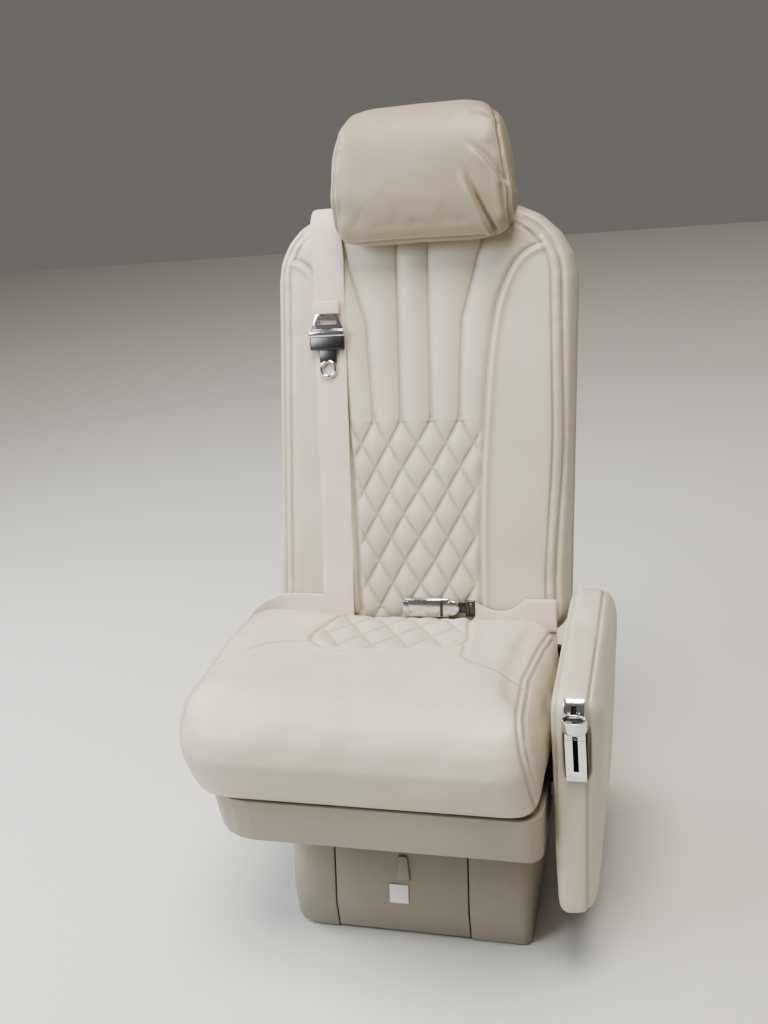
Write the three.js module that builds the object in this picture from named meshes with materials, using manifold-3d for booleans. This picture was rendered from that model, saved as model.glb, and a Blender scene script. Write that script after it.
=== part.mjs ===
// Passenger seat of a light business jet: a leather-covered club seat on a floor pedestal,
// with fore-aft and lateral tracks, a reclining back, a height-adjustable headrest pillow,
// a stowable aisle armrest and a lap and shoulder harness.
// Millimetres. +Z is up, the occupant faces -Y, and the aisle is on the +X side.
// The origin is on the floor, at the middle of the pedestal.
import * as THREE from 'three';
import { mergeVertices } from 'three/addons/utils/BufferGeometryUtils.js';
import Module from 'manifold-3d';

const wasm = await Module();
wasm.setup();

// Driving dimensions
const SEAT_GAP = 0.3;             // between pieces that rest on one another
const MOVING_GAP = 5;             // between pieces that move past one another
const RUNNING_GAP = 0.4;          // at slides and pins
const BACK_TILT = 16;             // degrees the upright back leans from vertical
const RECLINE_PIVOT = { y: 97, z: 320 };

const BASE = { x0: -191, x1: 170, y0: -205, y1: 185, height: 196, kick: 48, frontSlope: 44, wall: 8 };
const DOOR = { x0: -111, x1: 81 };
const RAIL = { floorX: 120, floorWidth: 36, floorHeight: 20, trackX: 95, trackWidth: 24, trackHeight: 12 };
const CUSHION = { x0: -272, x1: 213, y0: -346, y1: 12, middle: 369, z0: 303, front: 448, rear: 420 };
const SKIRT = { x0: -251, x1: 211, y0: -309, y1: 125, z0: 233, z1: 302.7, wall: 9 };
const BACK = {
  x0: -243, x1: 217, z0: 26, z1: 666, lean: 24, flare: 16,
  rear: 34, split: -26, faceLow: -85, faceHigh: -76,
};
const HIP_BAR = { x0: -214, x1: 190, y0: 90, y1: 112, z0: 284, z1: 298 };
const HEADREST = { x: 20, half: 30, y0: 0, y1: 6, z0: 526, armZ0: 681, armZ1: 716 };
const PILLOW = { x0: -109, x1: 152, rear: -49 };
const ARM = { y0: -276, y1: 75, z0: 120, z1: 458, x0: 222, lean: 4, thick: 62, taper: 15 };
const CONTROL = { x: 252, half: 12.5, z0: 346, z1: 405, depth: 12 };
const GUIDE = { y: [-190, -50], x0: 218.5, x1: 230, half: 11, z0: 150, z1: 405 };
const HARNESS_X = -134;
const WEBBING = { width: 48, thick: 2.4 };

// Materials
const finish = (color, roughness, metalness) => new THREE.MeshStandardMaterial({
  color, roughness, metalness,
});
const leather = finish(0xd6cfc0, 0.55, 0);
const shroudLeather = finish(0xc9c2b3, 0.6, 0);
const aluminium = finish(0xa9abad, 0.4, 0.9);
const steel = finish(0x6d7075, 0.45, 0.9);
const chrome = finish(0xe4e6e8, 0.12, 1);
const darkPlastic = finish(0x1d1d20, 0.5, 0);
const whitePlate = finish(0xf1efea, 0.5, 0);
const webbing = finish(0xcdbfae, 0.85, 0);

// Geometry helpers
const add = (parent, name, geometry, material) => {
  const mesh = new THREE.Mesh(geometry, material);
  mesh.name = name;
  parent.add(mesh);
  return mesh;
};

const toSolid = (geometry) => {
  const bare = geometry.clone();
  bare.deleteAttribute('normal');
  bare.deleteAttribute('uv');
  const merged = mergeVertices(bare, 1e-3);
  return new wasm.Manifold(new wasm.Mesh({
    numProp: 3,
    vertProperties: new Float32Array(merged.attributes.position.array),
    triVerts: new Uint32Array(merged.index.array),
  }));
};

const toGeometry = (solid) => {
  const { vertProperties, triVerts } = solid.getMesh();
  const geometry = new THREE.BufferGeometry();
  geometry.setAttribute('position', new THREE.BufferAttribute(vertProperties, 3));
  geometry.setIndex(new THREE.BufferAttribute(triVerts, 1));
  geometry.computeVertexNormals();
  return geometry;
};

const box = (x0, x1, y0, y1, z0, z1) => new THREE.BoxGeometry(x1 - x0, y1 - y0, z1 - z0)
  .translate((x0 + x1) / 2, (y0 + y1) / 2, (z0 + z1) / 2);

const join = (...parts) => toGeometry(parts.map(toSolid).reduce((all, next) => all.add(next)));
const cut = (whole, ...tools) => toGeometry(
  tools.map(toSolid).reduce((left, next) => left.subtract(next), toSolid(whole)),
);
const common = (a, b) => toGeometry(toSolid(a).intersect(toSolid(b)));

const signedVolume = (points, faces) => {
  let sum = 0;
  for (let i = 0; i < faces.length; i += 3) {
    sum += points[faces[i]].dot(points[faces[i + 1]].clone().cross(points[faces[i + 2]]));
  }
  return sum / 6;
};

// A closed skin over rings of points that all hold the same number of points, capped at both ends.
const skin = (rings) => {
  const count = rings[0].length;
  const points = rings.flat();
  const faces = [];
  for (let k = 0; k < rings.length - 1; k++) {
    for (let i = 0; i < count; i++) {
      const j = (i + 1) % count;
      const [a, b, c, d] = [k * count + i, k * count + j, (k + 1) * count + j, (k + 1) * count + i];
      faces.push(a, b, c, a, c, d);
    }
  }
  for (const [ring, turned] of [[0, true], [rings.length - 1, false]]) {
    const centre = rings[ring].reduce((sum, p) => sum.clone().add(p), new THREE.Vector3())
      .divideScalar(count);
    points.push(centre);
    for (let i = 0; i < count; i++) {
      const [a, b] = [ring * count + i, ring * count + (i + 1) % count];
      faces.push(...(turned ? [b, a, points.length - 1] : [a, b, points.length - 1]));
    }
  }
  const build = (indices) => {
    const geometry = new THREE.BufferGeometry().setFromPoints(points);
    geometry.setIndex(indices);
    geometry.computeVertexNormals();
    return geometry;
  };
  const facesOut = signedVolume(points, faces) > 0;
  return build(facesOut ? faces : faces.map((_, i) => faces[i - (i % 3) + 2 - (i % 3)]));
};

// A rectangle with its own radius at each corner, drawn in from its edges by the insets of its four sides.
// Radii run from the low-low corner, then high-low, high-high and low-high. Returns [u, v] pairs.
const outline = ({ u0, u1, v0, v1, radii, steps = 5 }, [inLow, inHigh, inSide] = [0, 0, 0]) => {
  const [a0, a1, b0, b1] = [u0 + inSide, u1 - inSide, v0 + inLow, v1 - inHigh];
  const corners = [
    { u: a0, v: b0, su: 1, sv: 1, from: 180, inset: (inLow + inSide) / 2 },
    { u: a1, v: b0, su: -1, sv: 1, from: 270, inset: (inLow + inSide) / 2 },
    { u: a1, v: b1, su: -1, sv: -1, from: 0, inset: (inHigh + inSide) / 2 },
    { u: a0, v: b1, su: 1, sv: -1, from: 90, inset: (inHigh + inSide) / 2 },
  ];
  return corners.flatMap(({ u, v, su, sv, from, inset }, k) => {
    const r = Math.max(radii[k] - inset, 2);
    return Array.from({ length: steps + 1 }, (_, i) => {
      const angle = THREE.MathUtils.degToRad(from + (90 * i) / steps);
      return [u + su * r + r * Math.cos(angle), v + sv * r + r * Math.sin(angle)];
    });
  });
};

// A flat strap: its rings are rectangles across the path, with the width along each point's side direction.
// Each row of the path is [x, y, z, side x, side y, side z].
const strap = (path, { width, thick }) => {
  const at = path.map(([x, y, z]) => new THREE.Vector3(x, y, z));
  return skin(path.map(([, , , sx, sy, sz], i) => {
    const along = at[Math.min(i + 1, at.length - 1)].clone().sub(at[Math.max(i - 1, 0)]).normalize();
    const side = new THREE.Vector3(sx, sy, sz).normalize();
    const normal = side.clone().cross(along).normalize();
    return [[-1, -1], [1, -1], [1, 1], [-1, 1]].map(([s, n]) => at[i].clone()
      .addScaledVector(side, s * width / 2).addScaledVector(normal, n * thick / 2));
  }));
};

const barBetween = (radius, a, b) => new THREE.CylinderGeometry(radius, radius, a.distanceTo(b), 16)
  .applyQuaternion(new THREE.Quaternion().setFromUnitVectors(
    new THREE.Vector3(0, 1, 0), b.clone().sub(a).normalize(),
  )).translate((a.x + b.x) / 2, (a.y + b.y) / 2, (a.z + b.z) / 2);
const rod = (radius, x0, x1, y, z) => barBetween(
  radius, new THREE.Vector3(x0, y, z), new THREE.Vector3(x1, y, z),
);

// Pedestal
const frontAt = (z) => BASE.y0 + BASE.frontSlope * Math.max(0, (z - BASE.kick) / (BASE.height - BASE.kick));
const baseRing = (z, inset) => outline(
  { u0: BASE.x0, u1: BASE.x1, v0: frontAt(z), v1: BASE.y1, radii: [46, 14, 14, 30] },
  [inset, inset, inset],
).map(([x, y]) => new THREE.Vector3(x, y, z));

const makePedestal = (parent) => {
  const lift = 3;
  const shell = cut(
    skin([baseRing(lift, 0), baseRing(BASE.kick, 0), baseRing(BASE.height, 0)]),
    skin([baseRing(-1, BASE.wall), baseRing(BASE.kick, BASE.wall), baseRing(BASE.height + 1, BASE.wall)]),
  );
  const far = 300;
  const rearSplit = 120;
  const slice = (x0, x1, y0, y1) => common(shell, box(x0, x1, y0, y1, -10, far));
  add(parent, 'shroud_left', slice(-far, DOOR.x0 - MOVING_GAP, -far, rearSplit - 1), shroudLeather);
  add(parent, 'shroud_right', slice(DOOR.x1 + MOVING_GAP, far, -far, rearSplit - 1), shroudLeather);
  add(parent, 'shroud_rear', slice(-far, far, rearSplit, far), shroudLeather);

  const half = RAIL.floorWidth / 2;
  const top = BASE.height - 10;
  const postY = [-132, 120];
  const parts = [];
  for (const x of [-RAIL.floorX, RAIL.floorX]) {
    parts.push(box(x - half, x + half, -178, 172, 0, RAIL.floorHeight));
    for (const y of postY) parts.push(box(x - 13, x + 13, y - 13, y + 13, RAIL.floorHeight - 1, top + 1));
  }
  for (const y of postY) parts.push(box(-RAIL.floorX, RAIL.floorX, y - 12, y + 12, 4, RAIL.floorHeight));
  parts.push(box(-RAIL.floorX, RAIL.floorX, -25, 25, 0, RAIL.floorHeight));
  const deckFront = BASE.y0 + BASE.frontSlope + BASE.wall + MOVING_GAP;
  parts.push(common(
    skin([baseRing(top, BASE.wall + 0.5), baseRing(BASE.height, BASE.wall + 0.5)]),
    box(-far, far, deckFront, far, 0, far),
  ));
  add(parent, 'base_frame', join(...parts), aluminium);

  const tray = { x0: -104, x1: 74, y0: -163, y1: 100, z0: RAIL.floorHeight + SEAT_GAP, z1: 124, wall: 3 };
  add(parent, 'vest_tray', cut(
    box(tray.x0, tray.x1, tray.y0, tray.y1, tray.z0, tray.z1),
    box(
      tray.x0 + tray.wall, tray.x1 - tray.wall, tray.y0 - 1, tray.y1 - tray.wall,
      tray.z0 + tray.wall, tray.z1 - tray.wall,
    ),
  ), darkPlastic);

  for (const [name, x] of [['left', -RAIL.trackX], ['right', RAIL.trackX]]) {
    add(parent, `track_rail_${name}`, box(
      x - RAIL.trackWidth / 2, x + RAIL.trackWidth / 2, -145, 175,
      BASE.height + SEAT_GAP, BASE.height + SEAT_GAP + RAIL.trackHeight,
    ), steel);
  }
};

// Life-vest door: the middle front panel, hinged along its lower edge, with a pull tab and a blank plate
const DOOR_PIN = { y: BASE.y0 + 4, z: 10, radius: 2 };

const makeDoor = (parent) => {
  const low = 6;
  const high = BASE.height - MOVING_GAP;
  const wall = BASE.wall;
  const side = [
    [BASE.y0, low], [BASE.y0, BASE.kick], [frontAt(high), high],
    [frontAt(high) + wall, high], [BASE.y0 + wall, BASE.kick], [BASE.y0 + wall, low],
  ];
  const panel = skin([DOOR.x0, DOOR.x1].map((x) => side.map(([y, z]) => new THREE.Vector3(x, y, z))));
  const { y: pinY, z: pinZ, radius } = DOOR_PIN;
  const bore = rod(radius + RUNNING_GAP, DOOR.x0 - 1, DOOR.x1 + 1, pinY, pinZ);
  add(parent, 'vest_door', cut(panel, bore), shroudLeather);
  const reach = MOVING_GAP - SEAT_GAP;
  add(parent, 'door_pin', rod(radius, DOOR.x0 - reach, DOOR.x1 + reach, pinY, pinZ), steel);
  const lean = Math.atan2(BASE.frontSlope, BASE.height - BASE.kick);
  const onPanel = (geometry, thick, x, z) => {
    const off = thick / 2 + SEAT_GAP;
    return geometry.rotateX(-lean).translate(x, frontAt(z) - off * Math.cos(lean), z + off * Math.sin(lean));
  };
  const tab = { thick: 3, top: 13, foot: 20, length: 36 };
  add(parent, 'vest_label', onPanel(new THREE.BoxGeometry(28, 1.5, 28), 1.5, -18, 69), whitePlate);
  const tabRing = (width, z) => [[-1, -1], [1, -1], [1, 1], [-1, 1]]
    .map(([u, v]) => new THREE.Vector3(u * width / 2, v * tab.thick / 2, z));
  add(parent, 'vest_tab', onPanel(skin([
    tabRing(tab.foot, -tab.length / 2), tabRing(tab.top, tab.length / 2),
  ]), tab.thick, -11, 107), leather);
};

// Fore-aft carriage with the lateral rails on top
const SHOE = { width: 40, length: 50, y: 60 };
const CARRIAGE = { z0: BASE.height + SEAT_GAP + RAIL.trackHeight + 0.5, plate: 8 };
const CROSS = {
  y: [-80, 80], half: 12, x0: -142, x1: 160, z0: CARRIAGE.z0 + 6 + CARRIAGE.plate + SEAT_GAP, height: 12,
};

const trackShoe = (x, y) => {
  const slot = RAIL.trackWidth / 2 + 0.5;
  const [w, l] = [SHOE.width / 2, SHOE.length / 2];
  return cut(
    box(x - w, x + w, y - l, y + l, CARRIAGE.z0 - 7.5, CARRIAGE.z0 + 7),
    box(x - slot, x + slot, y - SHOE.length, y + SHOE.length, CARRIAGE.z0 - 10, CARRIAGE.z0),
  );
};

const makeCarriage = (parent) => {
  const parts = [box(-135, 135, -108, 108, CARRIAGE.z0 + 6, CARRIAGE.z0 + 6 + CARRIAGE.plate)];
  for (const x of [-RAIL.trackX, RAIL.trackX]) {
    for (const y of [-SHOE.y, SHOE.y]) parts.push(trackShoe(x, y));
  }
  add(parent, 'carriage', join(...parts), aluminium);
  for (const [name, y] of [['front', CROSS.y[0]], ['rear', CROSS.y[1]]]) {
    add(parent, `cross_rail_${name}`, box(
      CROSS.x0, CROSS.x1, y - CROSS.half, y + CROSS.half, CROSS.z0, CROSS.z0 + CROSS.height,
    ), steel);
  }
};

// Seat pan, and the leather skirt round it, which also closes the space under the back
const skirtRing = (z, [front, rear, side]) => outline(
  { u0: SKIRT.x0, u1: SKIRT.x1, v0: SKIRT.y0, v1: SKIRT.y1, radii: [76, 26, 30, 34] }, [front, rear, side],
).map(([x, y]) => new THREE.Vector3(x, y, z));

const makePan = (parent) => {
  const { wall, z0, z1 } = SKIRT;
  const shell = cut(
    skin([skirtRing(z0, [9, 0, 4]), skirtRing(z1, [0, 0, 0])]),
    skin([skirtRing(z0 - 1, [9 + wall, wall, wall + 4]), skirtRing(z1 + 1, [wall, wall, wall])]),
  );
  const far = 400;
  const split = { front: -214, rear: -10 };
  const slice = (x0, x1, y0, y1) => common(shell, box(x0, x1, y0, y1, 0, far));
  add(parent, 'skirt_front', slice(-far, far, -far, split.front - SEAT_GAP), shroudLeather);
  add(parent, 'skirt_left', slice(-far, 0, split.front, split.rear), shroudLeather);
  add(parent, 'skirt_rear', slice(-far, far, split.rear + SEAT_GAP, far), shroudLeather);
  const feet = GUIDE.y.map((y) => box(150, far, y - 9, y + 9, 261, 283));
  add(parent, 'skirt_right', cut(slice(0, far, split.front, split.rear), ...feet), shroudLeather);

  const keep = wall + 12;
  const panRear = SKIRT.y1 - CUSHION.y1 + 32;
  const armX = [-150, 130];
  const low = CROSS.z0 + CROSS.height + 0.5;
  const parts = [
    skin([skirtRing(292, [keep + 8, panRear, keep]), skirtRing(z1, [keep + 8, panRear, keep])]),
    box(HIP_BAR.x0, HIP_BAR.x1, HIP_BAR.y0, HIP_BAR.y1, HIP_BAR.z0, HIP_BAR.z1),
  ];
  for (const x of armX) {
    parts.push(box(x - 10, x + 10, -280, 70, 250, 293));
    parts.push(box(x - 10, x + 10, -40, HIP_BAR.y0 + 1, HIP_BAR.z0, HIP_BAR.z1));
  }
  for (const y of CROSS.y) {
    parts.push(box(-150, 130, y - 11, y + 11, low + 4, 293));
    for (const x of [-85, 55]) {
      parts.push(cut(
        box(x - 25, x + 25, y - 20, y + 20, low - 6.5, low + 5),
        box(x - 26, x + 26, y - CROSS.half - 0.5, y + CROSS.half + 0.5, low - 8, low),
      ));
    }
  }
  add(parent, 'seat_pan', join(...parts), aluminium);
};

// Cushion sections from the underside up: share of the height, then the inset of the front, rear and sides.
// The rear face leans with the upright back.
const CUSHION_RINGS = [
  { h: 0.00, front: 40, rear: 14, side: 12 },
  { h: 0.12, front: 26, rear: 5, side: 4 },
  { h: 0.34, front: 8, rear: 0, side: 0 },
  { h: 0.56, front: 0, rear: 0, side: 0 },
  { h: 0.76, front: 9, rear: 4, side: 4 },
  { h: 0.90, front: 27, rear: 13, side: 12 },
  { h: 0.975, front: 52, rear: 25, side: 26 },
  { h: 1.00, front: 84, rear: 45, side: 50 },
  { h: 1.00, front: 150, rear: 100, side: 110 },
];
const cushionTop = (y) => {
  const t = THREE.MathUtils.clamp((y - CUSHION.y0 - 120) / (CUSHION.y1 - CUSHION.y0 - 120), 0, 1);
  return CUSHION.front + (CUSHION.rear - CUSHION.front) * t * t * (3 - 2 * t);
};
const backLean = Math.tan(THREE.MathUtils.degToRad(BACK_TILT));

const makeCushion = (parent) => {
  const rings = CUSHION_RINGS.map(({ h, front, rear, side }) => outline(
    { u0: CUSHION.x0, u1: CUSHION.x1, v0: CUSHION.y0, v1: CUSHION.y1, radii: [84, 52, 56, 60] },
    [front, rear, side],
  ).map(([x, y]) => {
    const z = CUSHION.z0 + h * (cushionTop(y) - CUSHION.z0);
    const share = (y - CUSHION.y0) / (CUSHION.y1 - CUSHION.y0);
    return new THREE.Vector3(x, y + backLean * (z - CUSHION.middle) * share * share, z);
  }));
  add(parent, 'seat_cushion', skin(rings), leather);
};

// Plates cut in the fore-aft and vertical plane: points are [y, z], the plate runs from x0 to x1.
const plateAcross = (points, x0, x1) => {
  const shape = new THREE.Shape(points.map(([y, z]) => new THREE.Vector2(y, z)));
  return new THREE.ExtrudeGeometry(shape, { depth: x1 - x0, bevelEnabled: false })
    .applyMatrix4(new THREE.Matrix4().makeBasis(
      new THREE.Vector3(0, 1, 0), new THREE.Vector3(0, 0, 1), new THREE.Vector3(1, 0, 0),
    )).translate(x0, 0, 0);
};

// Recline hinge brackets on the bar behind the pan, and the belt anchors: an upright lug behind the cushion
// at the right, and a plate on the skirt's outer face at the left
const PIN_RADIUS = 6;
const BRACKET_X = { left: [-179, -173], right: [169, 175] };

const makeSeatFittings = (parent) => {
  const { y, z } = RECLINE_PIVOT;
  const foot = HIP_BAR.z1 + SEAT_GAP;
  const side = [
    [y - 12, foot], [y + 12, foot], [y + 13, z + 5], [y + 5, z + 13], [y - 5, z + 13], [y - 13, z + 5],
  ];
  for (const name of ['left', 'right']) {
    const [x0, x1] = BRACKET_X[name];
    add(parent, `hinge_bracket_${name}`, cut(
      plateAcross(side, x0, x1), rod(PIN_RADIUS + RUNNING_GAP, x0 - 1, x1 + 1, y, z),
    ), steel);
  }
  add(parent, 'belt_anchor_right', join(
    box(LAP.x - 15, LAP.x + 15, 1.2, HIP_BAR.y0 - SEAT_GAP, 287, 291),
    box(LAP.x - 15, LAP.x + 15, 1.2, 4.2, 287, 312),
  ), steel);
  add(parent, 'belt_anchor_left', plateAcross(
    [[-46, 262], [-10, 262], [-10, 292], [-18, 300], [-38, 300], [-46, 292]],
    SKIRT.x0 - SEAT_GAP - 3, SKIRT.x0 - SEAT_GAP,
  ), steel);
};

// Armrest: guide posts on the pan, the padded slab that slides on them, and the seat controls in its front
const makeArmGuides = (parent) => {
  for (const [name, y] of [['front', GUIDE.y[0]], ['rear', GUIDE.y[1]]]) {
    add(parent, `arm_guide_${name}`, join(
      box(GUIDE.x0, GUIDE.x1, y - GUIDE.half, y + GUIDE.half, GUIDE.z0, GUIDE.z1),
      box(140 + SEAT_GAP, GUIDE.x0 + 1, y - 8, y + 8, 262, 282),
    ), steel);
  }
};

// Armrest sections from the inner face to the outer: share of the thickness and inset of the outline
const ARM_RINGS = [
  { s: 0.00, inset: 40 },
  { s: 0.00, inset: 12 },
  { s: 0.08, inset: 4 },
  { s: 0.20, inset: 0 },
  { s: 0.60, inset: 0 },
  { s: 0.80, inset: 3 },
  { s: 0.93, inset: 10 },
  { s: 1.00, inset: 24 },
  { s: 1.00, inset: 60 },
];
const armX = (s, z) => {
  const down = 1 - (z - ARM.z0) / (ARM.z1 - ARM.z0);
  return ARM.x0 - ARM.lean * down + s * (ARM.thick - ARM.taper * down ** 1.6);
};

const makeArmrest = (parent) => {
  const slab = skin(ARM_RINGS.map(({ s, inset }) => outline(
    { u0: ARM.y0, u1: ARM.y1, v0: ARM.z0, v1: ARM.z1, radii: [24, 44, 70, 22] }, [inset, inset, inset],
  ).map(([y, z]) => new THREE.Vector3(armX(s, z), y, z))));
  const grooves = GUIDE.y.map((y) => box(
    200, GUIDE.x1 + RUNNING_GAP,
    y - GUIDE.half - RUNNING_GAP, y + GUIDE.half + RUNNING_GAP, 0, GUIDE.z1 + 15,
  ));
  const { x, half, z0, z1, depth } = CONTROL;
  const pocket = box(x - half - 1, x + half + 1, ARM.y0 - 20, ARM.y0 + depth, z0 - 1, z1 + 14);
  add(parent, 'armrest', cut(slab, ...grooves, pocket), leather);

  const slot = { half: 3.2, z0: z0 + 14, z1: z1 - 2 };
  add(parent, 'control_housing', cut(
    box(x - half - 0.7, x + half + 0.7, ARM.y0 + SEAT_GAP, ARM.y0 + depth - SEAT_GAP, z0 - 0.7, z1 + 13.7),
    box(x - slot.half, x + slot.half, ARM.y0 - 1, ARM.y0 + depth - 3, slot.z0, slot.z1),
  ), darkPlastic);
  add(parent, 'control_plate', cut(
    box(x - half, x + half, ARM.y0 - 2.5, ARM.y0, z0, z1),
    box(x - slot.half, x + slot.half, ARM.y0 - 3, ARM.y0 + 1, slot.z0, z1 - 6),
  ), chrome);
  const stemEnd = { y: ARM.y0 - 17, z: z1 + 22 };
  const stem = barBetween(
    2.4, new THREE.Vector3(x, ARM.y0 + 4, z1 - 34), new THREE.Vector3(x, stemEnd.y, stemEnd.z),
  );
  const knob = new THREE.LatheGeometry([[0, -3], [9, -2], [14, 2], [15, 6], [13.5, 8], [0, 5.5]]
    .map(([r, h]) => new THREE.Vector2(r, h)), 24).scale(1, 1, 0.72).rotateX(THREE.MathUtils.degToRad(140))
    .translate(x, stemEnd.y, stemEnd.z);
  add(parent, 'control_lever', join(stem, knob), chrome);
};

// Lap belt. It stands on edge in the crevice between the cushion and the upright back: the left strap turns
// down round the cushion's rear corner, the right one rises behind the cushion and folds over to the tongue.
const LAP = { x: 176, depth: -91.4, top: 87 };
const tilt = THREE.MathUtils.degToRad(BACK_TILT);
const besideBack = (geometry) => geometry.rotateX(-tilt).translate(0, RECLINE_PIVOT.y, RECLINE_PIVOT.z);
const leftCorner = [
  [-232, 24.5, 404, -0.1, 0.15, 0.98],
  [-254, 14, 393, -0.4, -0.2, 0.88],
  [-269, -4, 374, -0.35, -0.72, 0.6],
  [-274.3, -20, 350, -0.02, -0.96, 0.28],
  [-274.3, -27, 330, 0, -1, 0.1],
  [-270, -28, 315, 0, -1, 0],
  [-261.5, -28, 301, 0, -1, 0],
  [-255.9, -28, 290, 0, -1, 0],
  [-255.9, -28, 266, 0, -1, 0],
];

const makeLapBelt = (parent) => {
  const { x, depth, top } = LAP;
  const half = WEBBING.width / 2;
  const standing = new THREE.Vector3(0, Math.sin(tilt), Math.cos(tilt));
  const inCrevice = (along, height) => {
    const at = new THREE.Vector3(0, depth, height).applyAxisAngle(new THREE.Vector3(1, 0, 0), -tilt);
    return [along, at.y + RECLINE_PIVOT.y, at.z + RECLINE_PIVOT.z, ...standing];
  };
  add(parent, 'lap_strap_left', strap([
    inCrevice(HARNESS_X + half, 63), inCrevice(HARNESS_X - half, 65), inCrevice(-212, 65), ...leftCorner,
  ], WEBBING), webbing);

  const front = depth - WEBBING.thick + 0.1;
  const rising = strap([[x, depth, -48, 1, 0, 0], [x, depth, top, 1, 0, 0]], WEBBING);
  const middle = top - half;
  const folded = strap([[x + half, front, middle, 0, 0, 1], [85, front, middle - 4, 0, 0, 1]], WEBBING);
  add(parent, 'lap_strap_right', besideBack(join(rising, folded)), webbing);
  add(parent, 'lap_buckle', besideBack(box(-26.5, 63, depth - 11.6, depth + 1.1, 58, top)), chrome);
  add(parent, 'lap_tongue', besideBack(box(63.3, 84.6, front - 3, front + 3, 59, top - 3)), steel);
};

// Back: the group stands on the recline pivot and leans with the back, its own -Y is the front
const backFace = (z) => BACK.faceLow + (BACK.faceHigh - BACK.faceLow) * (z - BACK.z0) / (BACK.z1 - BACK.z0);
const backRing = (share, [low, high, side], front) => outline(
  { u0: BACK.x0, u1: BACK.x1, v0: BACK.z0, v1: BACK.z1, radii: [42, 42, 116, 100] }, [low, high, side],
).map(([x, z]) => {
  const t = (z - BACK.z0) / (BACK.z1 - BACK.z0);
  const wider = 1 + (BACK.flare / BACK.x1) * THREE.MathUtils.smoothstep(t, 0.1, 0.5);
  const leant = x < 0 ? x * (1 - (BACK.lean / -BACK.x0) * t) : x * wider;
  const start = front ? BACK.split - SEAT_GAP : BACK.split;
  const depth = start + share * ((front ? backFace(z) : BACK.rear) - BACK.split);
  return new THREE.Vector3(leant, depth, z);
});

// Sections away from the split line: share of the depth, then the inset at the foot, top and sides
const BACK_CUSHION_RINGS = [
  { d: 0.00, low: 1, high: 2, side: 2 },
  { d: 0.30, low: 0, high: 0, side: 0 },
  { d: 0.62, low: 3, high: 3, side: 2 },
  { d: 0.86, low: 12, high: 12, side: 10 },
  { d: 0.97, low: 27, high: 26, side: 24 },
  { d: 1.00, low: 50, high: 50, side: 48 },
  { d: 1.00, low: 130, high: 140, side: 120 },
];
const BACK_SHELL_RINGS = [
  { d: 0.00, low: 0, high: 2, side: 2 },
  { d: 0.45, low: 0, high: 3, side: 3 },
  { d: 0.80, low: 6, high: 12, side: 10 },
  { d: 0.95, low: 16, high: 24, side: 20 },
  { d: 1.00, low: 32, high: 42, side: 36 },
  { d: 1.00, low: 120, high: 130, side: 120 },
];

const makeBack = (parent) => {
  const padded = (rings, front) => skin(
    rings.map(({ d, low, high, side }) => backRing(d, [low, high, side], front)),
  );
  add(parent, 'back_cushion', padded(BACK_CUSHION_RINGS, true), leather);
  const h = HEADREST;
  const sleeve = box(h.x - h.half - 1, h.x + h.half + 1, h.y0 - 1, h.y1 + 1, h.z0 - 20, BACK.z1 + 10);
  add(parent, 'back_shell', cut(padded(BACK_SHELL_RINGS, false), sleeve), leather);
  add(parent, 'back_pocket', box(-150, 140, BACK.rear + SEAT_GAP, BACK.rear + 8, 156, 426), shroudLeather);
  for (const side of ['left', 'right']) {
    const out = side === 'left' ? -1 : 1;
    const near = (side === 'left' ? BRACKET_X.left[0] - 1 : BRACKET_X.right[1] + 1);
    const [x0, x1] = [Math.min(near, near + out * 6), Math.max(near, near + out * 6)];
    const top = BACK.z0 - SEAT_GAP;
    add(parent, `hinge_arm_${side}`, join(
      plateAcross([[-13, -6], [-6, -13], [6, -13], [13, -6], [10, top], [-22, top]], x0, x1),
      rod(PIN_RADIUS, Math.min(near + out, near - out * 9), Math.max(near + out, near - out * 9), 0, 0),
    ), steel);
  }
};

// Headrest: a blade that slides in the back, its forward arm and carrier plate, and the pillow.
// Pillow profile as [y, z], from the underside round the rear to the face, and its sections along x.
const PILLOW_PROFILE = [
  [-118, 606], [-98, 608], [-87, 620], [-83, 648], [-80, 669], [-64, 681], [PILLOW.rear, 694],
  [PILLOW.rear, 760], [-60, 787], [-82, 799], [-108, 797], [-131, 779], [-145, 744], [-149, 704],
  [-146, 660], [-136, 622],
];
const PILLOW_SECTIONS = [
  { x: 0.000, scale: 0.60 }, { x: 0.025, scale: 0.83 }, { x: 0.08, scale: 0.95 }, { x: 0.20, scale: 1 },
  { x: 0.80, scale: 1 }, { x: 0.92, scale: 0.95 }, { x: 0.975, scale: 0.83 }, { x: 1.000, scale: 0.60 },
];

const makeHeadrest = (parent) => {
  const h = HEADREST;
  add(parent, 'headrest_bracket', join(
    box(h.x - h.half, h.x + h.half, h.y0, h.y1, h.z0, h.armZ1),
    box(h.x - h.half, h.x + h.half, PILLOW.rear + SEAT_GAP, h.y1, h.armZ0, h.armZ1),
    box(-55, 103, PILLOW.rear + SEAT_GAP, PILLOW.rear + 5, 697, 755),
  ), steel);
  const centre = { y: -106, z: 702 };
  const section = ({ x, scale }) => PILLOW_PROFILE.map(([y, z]) => new THREE.Vector3(
    PILLOW.x0 + x * (PILLOW.x1 - PILLOW.x0), centre.y + (y - centre.y) * scale,
    centre.z + (z - centre.z) * scale,
  ));
  add(parent, 'headrest_pillow', skin(PILLOW_SECTIONS.map(section)), leather);
};

// Shoulder strap: from its reel cover up behind the back, over the shoulder and down the front
const OVER_SHOULDER = [
  [-80, 630], [-75, 650], [-62, 664.5], [-36, 670], [-8, 670], [14, 666], [30, 653], [37, 630], [37.5, 566],
];

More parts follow.
